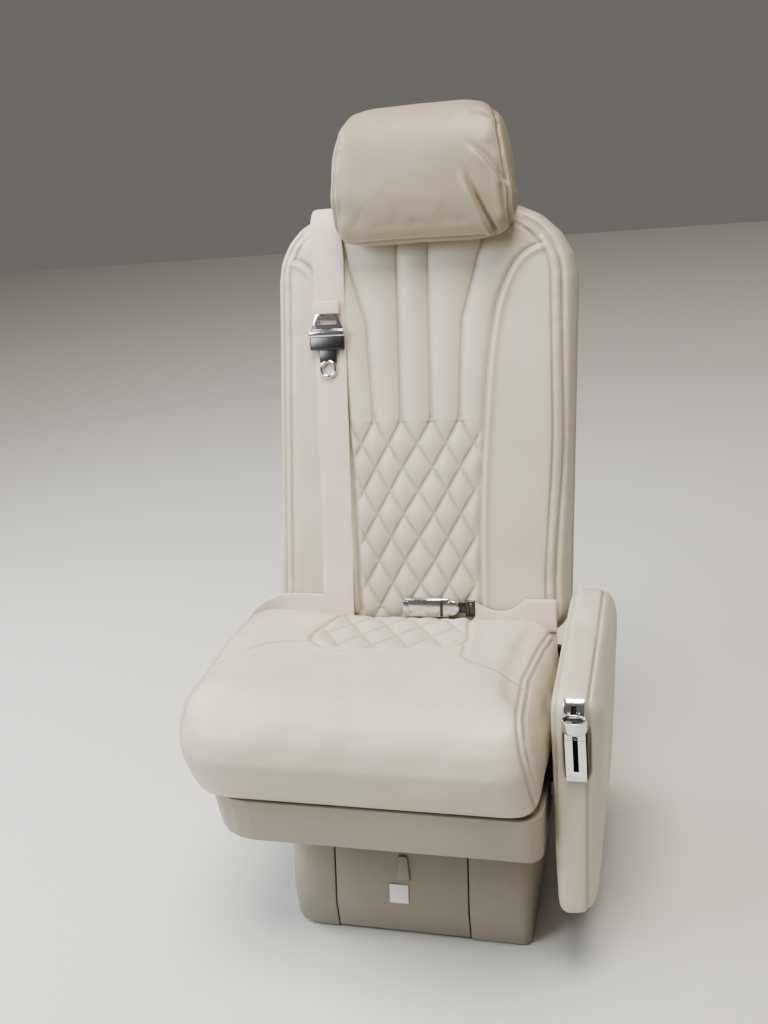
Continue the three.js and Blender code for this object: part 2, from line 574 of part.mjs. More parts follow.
const makeShoulderHarness = (parent) => {
  const off = 1.8;
  const face = (z) => [HARNESS_X, backFace(z) - off - SEAT_GAP, z, 1, 0, 0];
  add(parent, 'shoulder_strap', strap([
    ...[98, 356, 586, 614].map(face), ...OVER_SHOULDER.map(([y, z]) => [HARNESS_X, y, z, 1, 0, 0]),
  ], WEBBING), webbing);
  const fitted = (x, half, thick, z0, z1) => {
    const y = backFace((z0 + z1) / 2) - 2 * off - SEAT_GAP;
    return box(x - half, x + half, y - thick, y, z0, z1);
  };
  add(parent, 'strap_fitting', fitted(HARNESS_X, 20, 3, 490, 526), chrome);
  add(parent, 'strap_adjuster', fitted(HARNESS_X + 3, 29, 9, 457, 489.5), chrome);
  const reel = box(HARNESS_X - 32, HARNESS_X + 32, BACK.rear + SEAT_GAP, BACK.rear + 20, 496, 578);
  const mouth = box(HARNESS_X - 26, HARNESS_X + 26, BACK.rear - 1, BACK.rear + 5.5, 556, 586);
  add(parent, 'reel_cover', cut(reel, mouth), darkPlastic);
};

const seat = new THREE.Group();
makePedestal(seat);
makeDoor(seat);
makeCarriage(seat);
makePan(seat);
makeCushion(seat);
makeSeatFittings(seat);
makeLapBelt(seat);
makeArmGuides(seat);
makeArmrest(seat);

const back = new THREE.Group();
back.position.set(0, RECLINE_PIVOT.y, RECLINE_PIVOT.z);
back.rotation.x = -tilt;
seat.add(back);
makeBack(back);
makeHeadrest(back);
makeShoulderHarness(back);

export default seat;
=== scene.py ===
# The looks of a light business jet's passenger seat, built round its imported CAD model.
# Metres, in the CAD frame: +Z up, the occupant faces -Y, and the aisle is on the +X side.
import math

import bmesh
import bpy
import numpy as np
from mathutils import Euler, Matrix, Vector


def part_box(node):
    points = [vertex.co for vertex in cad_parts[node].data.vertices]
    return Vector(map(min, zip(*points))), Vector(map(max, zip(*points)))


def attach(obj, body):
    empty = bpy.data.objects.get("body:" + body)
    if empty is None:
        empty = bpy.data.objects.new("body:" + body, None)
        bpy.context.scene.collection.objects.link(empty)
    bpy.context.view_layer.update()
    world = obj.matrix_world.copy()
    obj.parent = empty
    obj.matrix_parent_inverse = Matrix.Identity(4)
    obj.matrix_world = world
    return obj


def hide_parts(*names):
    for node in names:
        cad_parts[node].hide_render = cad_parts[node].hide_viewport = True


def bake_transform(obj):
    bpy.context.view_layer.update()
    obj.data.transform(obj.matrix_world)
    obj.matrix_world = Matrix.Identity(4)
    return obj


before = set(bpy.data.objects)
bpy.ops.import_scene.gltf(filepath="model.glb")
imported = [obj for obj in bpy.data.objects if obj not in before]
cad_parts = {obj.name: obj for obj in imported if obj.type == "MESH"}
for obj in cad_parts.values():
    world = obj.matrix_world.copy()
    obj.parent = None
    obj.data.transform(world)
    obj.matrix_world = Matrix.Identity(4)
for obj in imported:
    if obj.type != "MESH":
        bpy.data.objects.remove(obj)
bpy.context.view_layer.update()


# Floor, light and camera.
# A plain pale floor, soft lamps above the aisle and at the cabin windows, and the eye of someone who stands
# in the aisle and looks down at the seat through a wide lens.
def deselect_all():
    if bpy.context.object and bpy.context.object.mode != "OBJECT":
        bpy.ops.object.mode_set(mode="OBJECT")
    bpy.ops.object.select_all(action="DESELECT")


def plain_material(name, colour, roughness):
    material = bpy.data.materials.new(name)
    material.use_nodes = True
    shader = material.node_tree.nodes["Principled BSDF"]
    shader.inputs["Base Color"].default_value = (*colour, 1)
    shader.inputs["Roughness"].default_value = roughness
    return material


deselect_all()
bpy.ops.mesh.primitive_plane_add(size=12, location=(0, 0, 0))
cabin_floor = bpy.context.object
cabin_floor.name = "cabin_floor"
cabin_floor.data.materials.append(plain_material("pale_floor", (0.70, 0.69, 0.67), 0.75))

world = bpy.data.worlds.new("soft_room")
bpy.context.scene.world = world
world.use_nodes = True
world.node_tree.nodes["Background"].inputs["Color"].default_value = (1.0, 0.96, 0.91, 1)
world.node_tree.nodes["Background"].inputs["Strength"].default_value = 0.16


def soft_lamp(name, place, aim, size, power, colour):
    deselect_all()
    bpy.ops.object.light_add(type="AREA", location=place)
    lamp = bpy.context.object
    lamp.name = name
    lamp.data.shape = "RECTANGLE"
    lamp.data.size, lamp.data.size_y = size
    lamp.data.energy = power
    lamp.data.color = colour
    lamp.rotation_euler = (Vector(aim) - Vector(place)).to_track_quat("-Z", "Y").to_euler()


soft_lamp("window_lamp", (-1.8, -1.6, 2.0), (0, -0.1, 0.35), (1.2, 1.3), 34, (0.88, 0.95, 1.0))
soft_lamp("side_window_lamp", (-1.6, 0.35, 1.75), (-0.1, -0.15, 0.45), (0.8, 1.0), 15, (0.93, 0.98, 1.0))
soft_lamp("cabin_lamp", (0.3, -1.3, 5.2), (0, 0, 0.4), (2.4, 2.4), 220, (1.0, 0.95, 0.86))

EYE = Vector((0.375, -1.366, 1.17))
PITCH_DOWN = 23.6          # degrees, of the photograph's own line of sight
PHOTO_FOCAL = 370          # pixels, in the photograph's 768 x 1024 frame
FRAME_MIDDLE = (384, 512)  # pixels
SEAT_MIDDLE = (282, 510)   # pixels, the middle of the seat in that frame
deselect_all()
bpy.ops.object.camera_add(location=EYE)
camera = bpy.context.object
camera.name = "aisle_camera"
camera.data.sensor_width = 36
camera.data.lens = 38
aside, above = SEAT_MIDDLE[0] - FRAME_MIDDLE[0], FRAME_MIDDLE[1] - SEAT_MIDDLE[1]
sight = Vector((aside / PHOTO_FOCAL, above / PHOTO_FOCAL, -1)).normalized()
swing = Vector((0, 0, -1)).rotation_difference(sight)
camera.rotation_mode = "QUATERNION"
camera.rotation_quaternion = Euler((math.radians(90 - PITCH_DOWN), 0, 0)).to_quaternion() @ swing
bpy.context.scene.camera = camera
bpy.context.scene.view_settings.view_transform = "AgX"
bpy.context.scene.view_settings.look = "AgX - High Contrast"


# Seat cushion.
# A block of soft foam in ivory leather, crowned on top and rolled over at the front. A quilted panel is sewn
# into the top, closed in front by a cross seam. A twin-needle seam follows each side's edge down the front.
def belongs(piece, body, slot, *nodes):
    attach(piece, body)
    if nodes:
        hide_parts(*nodes)
    return piece


def select_only(piece):
    deselect_all()
    bpy.context.view_layer.objects.active = piece
    piece.select_set(True)


def shape_all(piece, operator, **settings):
    """Runs one of edit mode's operators on the whole of a piece."""
    select_only(piece)
    bpy.ops.object.mode_set(mode="EDIT")
    bpy.ops.mesh.select_all(action="SELECT")
    operator(**settings)
    bpy.ops.object.mode_set(mode="OBJECT")


def welded_copy(node, name):
    piece = bpy.data.objects.new(name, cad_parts[node].data.copy())
    bpy.context.scene.collection.objects.link(piece)
    piece.data.materials.clear()
    shape_all(piece, bpy.ops.mesh.remove_doubles, threshold=0.00002)
    return piece


def keep_modifier(piece, kind, **settings):
    modifier = piece.modifiers.new(kind.lower(), kind)
    for key, value in settings.items():
        setattr(modifier, key, value)
    select_only(piece)
    bpy.ops.object.modifier_apply(modifier=modifier.name)


def points_of(piece, field="co"):
    flat = np.empty(3 * len(piece.data.vertices))
    piece.data.vertices.foreach_get(field, flat)
    return flat.reshape(-1, 3)


def place_points(piece, points):
    piece.data.vertices.foreach_set("co", np.ascontiguousarray(points, dtype=np.float32).ravel())
    piece.data.update()


def smooth_faces(piece, angle=None):
    select_only(piece)
    if angle is None:
        bpy.ops.object.shade_smooth()
    else:
        bpy.ops.object.shade_smooth_by_angle(angle=math.radians(angle))


def even_skin(node, name, voxel, smoothing):
    """The CAD solid with one fine, even skin, ready to be swollen or sewn."""
    piece = welded_copy(node, name)
    keep_modifier(piece, "REMESH", mode="VOXEL", voxel_size=voxel, adaptivity=0)
    keep_modifier(piece, "SMOOTH", factor=0.5, iterations=smoothing)
    return piece


CLOTH_FRAMES = 20
DENTS_UNDONE = 0.85     # of what the cover sinks inwards


def swollen_pad(node, freedom, voxel, shrink, cap, smoothing=6, calming=3):
    """The CAD solid as foam in a cover: shrunk, then blown up by cloth pressure, up to the cap.
    Freedom gives each point's share of the swelling, from 0 to 1."""
    pad = even_skin(node, f"{node}_pad", voxel, smoothing)
    start = points_of(pad)
    free = freedom(start)[:, None]
    start = start - points_of(pad, "normal") * shrink * free
    place_points(pad, start)
    cloth = pad.modifiers.new("cloth", "CLOTH")
    cloth.settings.quality = 4
    cloth.settings.use_pressure = True
    cloth.settings.uniform_pressure_force = 4
    cloth.settings.effector_weights.gravity = 0
    cloth.collision_settings.use_collision = False
    cloth.collision_settings.use_self_collision = False
    for step in range(1, CLOTH_FRAMES + 1):
        bpy.context.scene.frame_set(step)
    swollen = pad.evaluated_get(bpy.context.evaluated_depsgraph_get())
    outward = points_of(pad, "normal")
    moved = points_of(swollen) - start
    moved -= DENTS_UNDONE * np.minimum(np.sum(moved * outward, axis=1), 0)[:, None] * outward
    pad.modifiers.remove(cloth)
    bpy.context.scene.frame_set(1)
    length = np.linalg.norm(moved, axis=1, keepdims=True) + 1e-9
    moved *= np.minimum(1, cap / length) * free
    place_points(pad, start + moved)
    keep_modifier(pad, "SMOOTH", factor=0.5, iterations=calming)
    keep_modifier(pad, "SUBSURF", levels=1, render_levels=1)
    smooth_faces(pad)
    return pad


def ramp(value, low, high):
    t = np.clip((value - low) / (high - low), 0, 1)
    return t * t * (3 - 2 * t)


def along_line(where, rows):
    """Reads a line, given as pairs of where and value, at each point."""
    return np.interp(where, *zip(*rows))


def beside_seam(flat, row):
    """Signed distance of each flat point from a seam's polyline, and how far along the seam it lies."""
    best = np.full(len(flat), 1e9)
    signed = np.full(len(flat), 1e3)
    along = np.zeros(len(flat))
    run = 0.0
    for a, b in zip(row[:-1], row[1:]):
        a, b = np.array(a), np.array(b)
        leg = b - a
        size = np.linalg.norm(leg)
        t = np.clip((flat - a) @ leg / size ** 2, 0, 1)
        off = flat - a - t[:, None] * leg
        far = np.linalg.norm(off, axis=1)
        side = np.sign(leg[0] * off[:, 1] - leg[1] * off[:, 0])
        nearer = far < best
        best = np.where(nearer, far, best)
        signed = np.where(nearer, far * side, signed)
        along = np.where(nearer, run + t * size, along)
        run += size
    return signed, along


def smooth_row(row, steps=6):
    """A polyline drawn smoothly through a few points."""
    p = [np.array(q, float) for q in row]
    p = [2 * p[0] - p[1], *p, 2 * p[-1] - p[-2]]
    out = []
    for k in range(1, len(p) - 2):
        for i in range(steps):
            t = i / steps
            out.append(0.5 * (2 * p[k] + (p[k + 1] - p[k - 1]) * t
                              + (2 * p[k - 1] - 5 * p[k] + 4 * p[k + 1] - p[k + 2]) * t ** 2
                              + (3 * p[k] - p[k - 1] - 3 * p[k + 1] + p[k + 2]) * t ** 3))
    return [*out, p[-2]]


def dip(off, width):
    """1 on a line, fading to nothing over a width to either side of it."""
    return np.exp(-(off / width) ** 2)


def sew(seams, rise, off, run, sewn, depth, width):
    """Draws the cover in along a seam, and keeps the seam for its stitches and its painted shade."""
    rise -= depth * dip(off, width) * sewn
    seams.append((off, run, sewn))


NO_SEAM = 90.0      # millimetres, further than a seam shows
UNSEWN = 40         # millimetres, added where a seam isn't sewn


def note_seams(piece, seams):
    """Writes each vertex's distance from its nearest seam, and its place along it, for the stitches and the
    painted seam shade.
    A seam is its offsets, its run and a share from 0 to 1 of where it is sewn."""
    near = np.full(len(piece.data.vertices), NO_SEAM)
    along = np.zeros(len(near))
    for offset, run, sewn in seams:
        far = np.abs(offset) + UNSEWN * (1 - sewn)
        closer = far < near
        near = np.where(closer, far, near)
        along = np.where(closer, run, along)
    for name, values in (("seam_off", near), ("seam_run", along)):
        spot = piece.data.attributes.new(name, "FLOAT", "POINT")
        spot.data.foreach_set("value", values.astype(np.float32))


def wired(tree, kind, sockets=None, **settings):
    made = tree.nodes.new("ShaderNode" + kind)
    for key, value in settings.items():
        setattr(made, key, value)
    for key, value in (sockets or {}).items():
        if isinstance(value, bpy.types.NodeSocket):
            tree.links.new(value, made.inputs[key])
        else:
            made.inputs[key].default_value = value
    return made


def reckon(tree, operation, *values):
    return wired(tree, "Math", dict(enumerate(values)), operation=operation).outputs[0]


def between(tree, value, low, high, start=0.0, end=1.0):
    return wired(tree, "MapRange", {
        "Value": value, "From Min": low, "From Max": high, "To Min": start, "To Max": end,
    }, interpolation_type="SMOOTHSTEP").outputs["Result"]


def noise(tree, place, scale, detail, **more):
    sockets = {"Vector": place, "Scale": scale, "Detail": detail, **more}
    return wired(tree, "TexNoise", sockets).outputs["Fac"]


def toned(colour, share):
    return tuple(min(1, share * part) for part in colour)


def tinted(tree, share, first, second):
    mixed = wired(tree, "Mix", {0: share}, data_type="RGBA")
    for socket, value in ((6, first), (7, second)):
        if isinstance(value, bpy.types.NodeSocket):
            tree.links.new(value, mixed.inputs[socket])
        else:
            mixed.inputs[socket].default_value = (*value, 1)
    return mixed.outputs[2]


def patterned(name, colour, roughness=0.5):
    """A material to draw a pattern in, with its node tree and the piece's own coordinates."""
    material = plain_material(name, colour, roughness)
    return material, material.node_tree, wired(material.node_tree, "TexCoord").outputs["Object"]


def join_pattern(tree, shade, gloss, height, strength, depth, **fixed):
    """Leads a pattern's colour, gloss and relief to the shader, and sets what is the same all over."""
    shader = tree.nodes["Principled BSDF"]
    relief = wired(tree, "Bump", {"Height": height, "Strength": strength, "Distance": depth})
    tree.links.new(shade, shader.inputs["Base Color"])
    tree.links.new(relief.outputs["Normal"], shader.inputs["Normal"])
    if gloss is not None:
        tree.links.new(gloss, shader.inputs["Roughness"])
    for key, value in fixed.items():
        shader.inputs[key.replace("_", " ").title()].default_value = value


STITCH_ROW, STITCH_PITCH = 3.4, 4.6     # millimetres, from the seam and from stitch to stitch
THREAD = (0.70, 0.63, 0.53)


def leather(name, colour, wrinkles=1.0, sewn=True):
    """Corrected-grain upholstery leather: fine pebble grain, soft creases, and painted shade in the seams.
    """
    material, tree, place = patterned(name, colour)
    pebble = wired(tree, "TexVoronoi", {"Vector": place, "Scale": 720, "Smoothness": 0.35},
                   feature="SMOOTH_F1").outputs["Distance"]
    pore = noise(tree, place, 1900, 2)
    crease = noise(tree, place, 46, 4, Roughness=0.55, Distortion=0.7)
    soft = noise(tree, place, 14, 2)
    tone = noise(tree, place, 6, 4)
    height = reckon(tree, "MULTIPLY_ADD", pebble, 0.22, reckon(tree, "MULTIPLY", pore, 0.09))
    height = reckon(tree, "MULTIPLY_ADD", crease, 0.7 * wrinkles, height)
    height = reckon(tree, "MULTIPLY_ADD", soft, 1.1 * wrinkles, height)
    shade = tinted(tree, between(tree, tone, 0.3, 0.7), toned(colour, 0.93), toned(colour, 1.04))
    shade = tinted(tree, between(tree, pebble, 0.55, 0.95, 0, 0.22), shade, toned(colour, 0.7))
    if sewn:
        off = wired(tree, "Attribute", attribute_name="seam_off").outputs["Fac"]
        run = wired(tree, "Attribute", attribute_name="seam_run").outputs["Fac"]
        # Painted shade: the colour darkens in the crease along each seam, besides the groove drawn in the
        # bump.
        crease_and_shade = between(tree, off, 0.2, 3.2, 1, 0)
        beside = reckon(tree, "ABSOLUTE", reckon(tree, "SUBTRACT", off, STITCH_ROW))
        dash = reckon(tree, "ABSOLUTE", reckon(tree, "SUBTRACT", reckon(
            tree, "FRACT", reckon(tree, "DIVIDE", run, STITCH_PITCH)), 0.5))
        stitch = reckon(tree, "MULTIPLY", between(tree, beside, 0.35, 0.6, 1, 0),
                        between(tree, dash, 0.36, 0.42, 1, 0))
        shade = tinted(tree, reckon(tree, "MULTIPLY", crease_and_shade, 0.42), shade, toned(colour, 0.45))
        shade = tinted(tree, reckon(tree, "MULTIPLY", stitch, 0.8), shade, THREAD)
        height = reckon(tree, "MULTIPLY_ADD", crease_and_shade, -1.4, height)
        height = reckon(tree, "MULTIPLY_ADD", stitch, 0.8, height)
    gloss = reckon(tree, "MULTIPLY_ADD", tone, 0.16, reckon(tree, "MULTIPLY_ADD", pebble, 0.08, 0.33))
    join_pattern(tree, shade, gloss, height, 0.75, 0.0007,
                 sheen_weight=0.06, coat_weight=0.08, coat_roughness=0.38)
    return material


ivory_leather = leather("ivory_leather", (0.61, 0.565, 0.475))

cushion_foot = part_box("seat_cushion")[0][2]


def cushion_free(p):
    on_pan = ramp(p[:, 2], cushion_foot + 0.004, cushion_foot + 0.05)
    at_back = 1 - 0.75 * ramp(p[:, 1], -0.03, 0.02) * (1 - ramp(p[:, 2], 0.395, 0.415))
    return on_pan * at_back


# Seams and quilting in millimetres. The edge seams are x against how far down the front they have run.
QUILTED_PANEL = [(-104, 20), (-112, -40), (-124, -105), (-118, -132), (-96, -148), (-54, -155), (0, -150),
                 (50, -140), (80, -128), (94, -104), (86, -60), (76, 20)]
CROSS_SEAM_LEFT = [(-118, -132), (-164, -147), (-197, -169), (-237, -191), (-262, -204)]
CROSS_SEAM_RIGHT = [(94, -128), (101, -167), (144, -188), (185, -212)]
AISLE_SEAM = ((20, 205), (40, 203), (109, 192), (198, 184), (284, 189), (350, 197), (410, 206), (470, 213))
WINDOW_SEAM = ((20, -244), (160, -248), (300, -251), (400, -253), (470, -250))
TOP_Z = 440
TWIN_ROWS = (-4, 4)
QUILT_MIDDLE = (-8, -20)
DIAMOND = (50, 76)
DIAMOND_PITCH = 41.8
DIAMOND_PUFF, DIAMOND_SINK = 3.8, 2.4
WINDOW_LIFT, WINDOW_SPREAD = 9, 6


def sewn_cushion(cushion):
    p = points_of(cushion) * 1000
    n = points_of(cushion, "normal")
    top = ramp(n[:, 2], 0.15, 0.6)
    rows = (QUILTED_PANEL, CROSS_SEAM_LEFT, CROSS_SEAM_RIGHT)
    panel = [beside_seam(p[:, :2], smooth_row(row)) for row in rows]
    quilted = ramp(panel[0][0], -2, 10) * top
    puff = np.ones(len(p))
    rise = np.zeros(len(p))
    seams = []
    for way in (1, -1):
        q = (p[:, 0] - QUILT_MIDDLE[0]) / DIAMOND[0] + way * (p[:, 1] - QUILT_MIDDLE[1]) / DIAMOND[1]
        puff *= np.abs(np.sin(np.pi * q)) ** 0.6
        seams.append(((q - np.round(q)) * DIAMOND_PITCH, p[:, 1], quilted))
    rise += (DIAMOND_PUFF * puff - DIAMOND_SINK) * quilted
    for (signed, run), depth in zip(panel, (2.8, 0.9, 0.9)):
        sew(seams, rise, signed, run, top, depth, 3.0)
        rise += 0.4 * depth * dip(np.abs(signed) - 9, 7) * top
    down = -p[:, 1] + TOP_Z - p[:, 2]
    facing = ramp(np.maximum(n[:, 2], -n[:, 1]), 0.1, 0.5)
    for row, depth in ((AISLE_SEAM, 1.4), (WINDOW_SEAM, 0.5)):
        for twin in TWIN_ROWS:
            sew(seams, rise, p[:, 0] - along_line(down, row) - twin, down, facing, depth, 2.4)
    waves = np.sin(p[:, 0] / 21 + 1.5 * np.sin(p[:, 2] / 26)) * np.sin(p[:, 0] / 57 + 0.8)
    rise += 1.1 * waves * ramp(-n[:, 1], 0.25, 0.8) * ramp(p[:, 2], 320, 400)
    at_window = ramp(-p[:, 0], 70, 210) * ramp(p[:, 1], -250, -110) * ramp(p[:, 2], 340, 400)
    p[:, 2] += WINDOW_LIFT * at_window
    p[:, 0] -= WINDOW_SPREAD * at_window
    place_points(cushion, (p + n * rise[:, None]) / 1000)
    note_seams(cushion, seams)


seat_cushion_pad = swollen_pad("seat_cushion", cushion_free, voxel=0.005, shrink=0.003, cap=0.007,
                               calming=12)
sewn_cushion(seat_cushion_pad)
seat_cushion_pad.data.materials.append(ivory_leather)
belongs(seat_cushion_pad, "seat", "leather", "seat_cushion")


# Back cushion.
# A leather-covered foam pad on the front of the back. Its centre panel is sewn into upright channels that
# cross into diamonds over the small of the back. The side panels end in two ridges that follow the edge.
RECLINE_PIVOT = Vector((0, 0.097, 0.320))
BACK_TILT = math.radians(16)
lean_y, lean_z = math.sin(BACK_TILT), math.cos(BACK_TILT)


def to_back(p):
    """World metres to the leaning back's own frame, in millimetres."""
    y, z = (p[:, 1] - RECLINE_PIVOT.y) * 1000, (p[:, 2] - RECLINE_PIVOT.z) * 1000
    return np.stack([p[:, 0] * 1000, y * lean_z - z * lean_y, y * lean_y + z * lean_z], axis=1)


def from_back(q):
    y, z = q[:, 1] / 1000, q[:, 2] / 1000
    return np.stack([
        q[:, 0] / 1000, RECLINE_PIVOT.y + y * lean_z + z * lean_y, RECLINE_PIVOT.z - y * lean_y + z * lean_z,
    ], axis=1)


def forward_of(normals):
    """How far each normal looks out of the back's front face, from -1 to 1."""
    return -(normals[:, 1] * lean_z - normals[:, 2] * lean_y)


def inside_rounded(off, half, radius):
    """How far each point lies inside a rounded rectangle, given its place from the middle."""
    reach = np.abs(off) - np.array(half) + radius[:, None]
    return radius - np.minimum(reach.max(axis=1), 0) - np.linalg.norm(np.maximum(reach, 0), axis=1)


# The back's outline in its own millimetres, with the share by which each side leans in or out.
BACK_LEFT, BACK_RIGHT, BACK_LOW, BACK_TOP = -243, 217, 26, 666
LEFT_TAPER, RIGHT_FLARE = 0.0988, 0.0737
LOW_RADIUS, TOP_LEFT_RADIUS, TOP_RIGHT_RADIUS = 42, 100, 116


def inside_edge(q):
    """How far each point of the back lies inside its outline."""
    share = (q[:, 2] - BACK_LOW) / (BACK_TOP - BACK_LOW)
    x = np.where(q[:, 0] < 0, q[:, 0] / (1 - LEFT_TAPER * share),
                 q[:, 0] / (1 + RIGHT_FLARE * ramp(share, 0.1, 0.5)))
    off = np.stack([x, q[:, 2]], axis=1) - np.array([BACK_LEFT + BACK_RIGHT, BACK_LOW + BACK_TOP]) / 2
    radius = np.where(off[:, 1] < 0, LOW_RADIUS, np.where(off[:, 0] < 0, TOP_LEFT_RADIUS, TOP_RIGHT_RADIUS))
    return inside_rounded(off, ((BACK_RIGHT - BACK_LEFT) / 2, (BACK_TOP - BACK_LOW) / 2), radius)


def back_free(p):
    q = to_back(p)
    face = 1 - ramp(q[:, 1], -42, -28)
    return face * (1 - 0.6 * (1 - ramp(q[:, 2], 30, 110)))


# Heights up the back against how far each seam lies from its middle.
PANEL_EDGE = ((20, 87), (75, 87), (231, 90), (333, 97), (400, 102), (467, 110), (523, 122), (570, 144),
              (592, 169), (602, 205), (606, 225))
OUTER_CHANNEL = ((20, 63), (350, 65), (494, 72), (610, 105), (666, 124))
PANEL_MIDDLE = -6
SHOULDER, WINDOW_SHARE = 120, 0.97      # where the edge is wider than this, the window side has this share
CHANNEL_MIDDLE, CHANNEL_HALF = -4, 23
CROSSING_Z, CROSSING_RISE = 350, 70
CROSSING_PITCH = 36.6
CHANNEL_PUFF, CHANNEL_SINK = 6.8, 4.6
RIDGE_INSETS = (19, 32.5)


def sewn_back(back):
    p = points_of(back)
    n = points_of(back, "normal")
    q = to_back(p)
    forward = forward_of(n)
    face = ramp(forward, 0.1, 0.5)
    x, z = q[:, 0], q[:, 2]
    wide = along_line(z, OUTER_CHANNEL) - CHANNEL_HALF
    off = x - CHANNEL_MIDDLE
    beyond = np.abs(off) - CHANNEL_HALF
    u = np.sign(off) * np.where(beyond > 0, 0.5 + beyond / wide, 0.5 * np.abs(off) / CHANNEL_HALF)
    t = (CROSSING_Z - z) / CROSSING_RISE
    s = 0.5 * (t + np.sqrt(t * t + 0.012))
    right = beside_seam(q[:, [0, 2]], smooth_row([(b, a) for a, b in PANEL_EDGE]))
    window_edge = [(2 * PANEL_MIDDLE - b * (1 if b < SHOULDER else WINDOW_SHARE), a) for a, b in PANEL_EDGE]
    left = beside_seam(q[:, [0, 2]], smooth_row(window_edge))
    in_panel = np.minimum(ramp(right[0], 0, 9), ramp(-left[0], 0, 9))
    depth = inside_edge(q)
    seams = []
    rise = np.zeros(len(p))
    puff = np.ones(len(p))
    quilted = in_panel * face * ramp(depth, 12, 40)
    for line in (u + 0.5 + s, u + 0.5 - s):
        puff *= np.abs(np.sin(np.pi * line)) ** np.where(z > CROSSING_Z, 0.3, 0.5)
        pitch = np.where(z > CROSSING_Z, wide, CROSSING_PITCH)
        seams.append(((line - np.round(line)) * pitch, z + 0.5 * x, quilted))
    rise += (CHANNEL_PUFF * puff - CHANNEL_SINK) * quilted
    within = face * ramp(depth, 24, 36)
    for (signed, run), outward in ((right, -1), (left, 1)):
        sew(seams, rise, signed, run, within, 5.0, 3.6)
        rise += 4.2 * dip(outward * signed - 7, 5.5) * within
    here = ramp(forward, -0.1, 0.2) * ramp(np.abs(x - PANEL_MIDDLE), 130, 170)
    for inset in RIDGE_INSETS:
        sew(seams, rise, depth - inset, z, here, 2.3, 2.6)
        rise += 1.2 * dip(depth - inset + 6, 4) * here
    place_points(back, p + n * rise[:, None] / 1000)
    note_seams(back, seams)


back_cushion_pad = swollen_pad("back_cushion", back_free, voxel=0.005, shrink=0.003, cap=0.0055,
                               smoothing=4)
sewn_back(back_cushion_pad)
back_cushion_pad.data.materials.append(ivory_leather)
belongs(back_cushion_pad, "back", "leather", "back_cushion")


# Headrest pillow.
# A soft leather pillow on a carrier plate above the back. Its cover is gathered into an end panel at each
# side, so folds run from the lower corners towards the middle, and a hem closes it underneath.
def pillow_free(p):
    return 0.25 + 0.75 * (1 - ramp(to_back(p)[:, 1], -75, -52))


# Each fold's path in x and z in the back's millimetres, its depth and its width.
PILLOW_FOLDS = [
    ([(132, 602), (120, 624), (107, 652), (96, 679), (91, 702)], 8.0, 3.8),
    ([(150, 668), (140, 682), (122, 706), (104, 722), (90, 728)], 4.4, 4.2),
    ([(138, 764), (126, 766), (112, 772), (92, 776)], 2.4, 5.0),
    ([(146, 622), (142, 650), (139, 690), (136, 720)], 2.0, 4.0),
    ([(-104, 618), (-94, 646), (-88, 684)], 2.2, 6.0),
    ([(-102, 762), (-90, 748), (-74, 740)], 1.6, 6.0),
]
PILLOW_RIGHT = ((600, 150), (606, 153), (628, 158), (661, 158), (714, 149), (767, 139), (783, 130),
                (800, 122))
PILLOW_LEFT = ((600, -99), (608, -103), (633, -111), (668, -111), (723, -106), (766, -100), (800, -92))
PILLOW_MIDDLE = 20
HEM_Z = 606
END_SEAMS = ((1, 141), (-1, -98))


def gathered_pillow(pillow):
    q = to_back(points_of(pillow))
    straight_x = q[:, 0].copy()
    off = q[:, 0] - PILLOW_MIDDLE
    right = (along_line(q[:, 2], PILLOW_RIGHT) - PILLOW_MIDDLE) / off.max()
    left = (PILLOW_MIDDLE - along_line(q[:, 2], PILLOW_LEFT)) / -off.min()
    q[:, 0] = PILLOW_MIDDLE + off * np.where(off > 0, right, left)
    low = 1 - ramp(q[:, 2], HEM_Z, 652)
    q[:, 2] -= 7 * low * ramp(-q[:, 1], 80, 110)
    q[:, 0] -= 7 * low * ramp(-q[:, 0], 40, 90)
    place_points(pillow, from_back(q))
    p = points_of(pillow)
    n = points_of(pillow, "normal")
    face = ramp(forward_of(n), 0.05, 0.5)
    seams = []
    rise = np.zeros(len(p))
    for row, depth, width in PILLOW_FOLDS:
        signed, run = beside_seam(q[:, [0, 2]], smooth_row(row))
        total = run.max()
        fade = ramp(run, 0, 0.15 * total) * (1 - ramp(run, 0.5 * total, total))
        rise -= depth * dip(signed, width) * face * fade
        rise += 0.7 * depth * dip(signed - 1.9 * width, 1.3 * width) * face * fade
    for end, place in END_SEAMS:
        sew(seams, rise, end * (straight_x - place), q[:, 2] - 0.8 * q[:, 1], np.ones(len(p)), 1.4, 2.8)
    sew(seams, rise, q[:, 2] - HEM_Z, q[:, 0], ramp(-n[:, 2] + 0.2, 0, 0.3) * face, 1.2, 2.6)
    slack = np.sin(q[:, 0] / 37 + 2 * np.sin(q[:, 2] / 51)) * np.sin(q[:, 2] / 43 + 0.6)
    rise += 0.8 * slack * face
    place_points(pillow, p + n * rise[:, None] / 1000)
    note_seams(pillow, seams)


headrest_pillow_pad = swollen_pad("headrest_pillow", pillow_free, voxel=0.0042, shrink=0.003, cap=0.007)
gathered_pillow(headrest_pillow_pad)
# The pillow's leather is a darker copy of the ivory: painted shade, as the pillow hangs in shade above the
# back.
headrest_pillow_pad.data.materials.append(leather("pillow_leather_painted_shade", (0.40, 0.352, 0.28)))
belongs(headrest_pillow_pad, "headrest", "leather", "headrest_pillow")


# Armrest.
# A slab of firm foam over a core, wrapped in leather, that slides on two guide posts at the seat's aisle
# side. A twin-needle seam runs round each face, and the front edge is cut away for the seat controls.
def armrest_free(p):
    return 0.35 + 0.65 * ramp(p[:, 0], 0.222, 0.250)


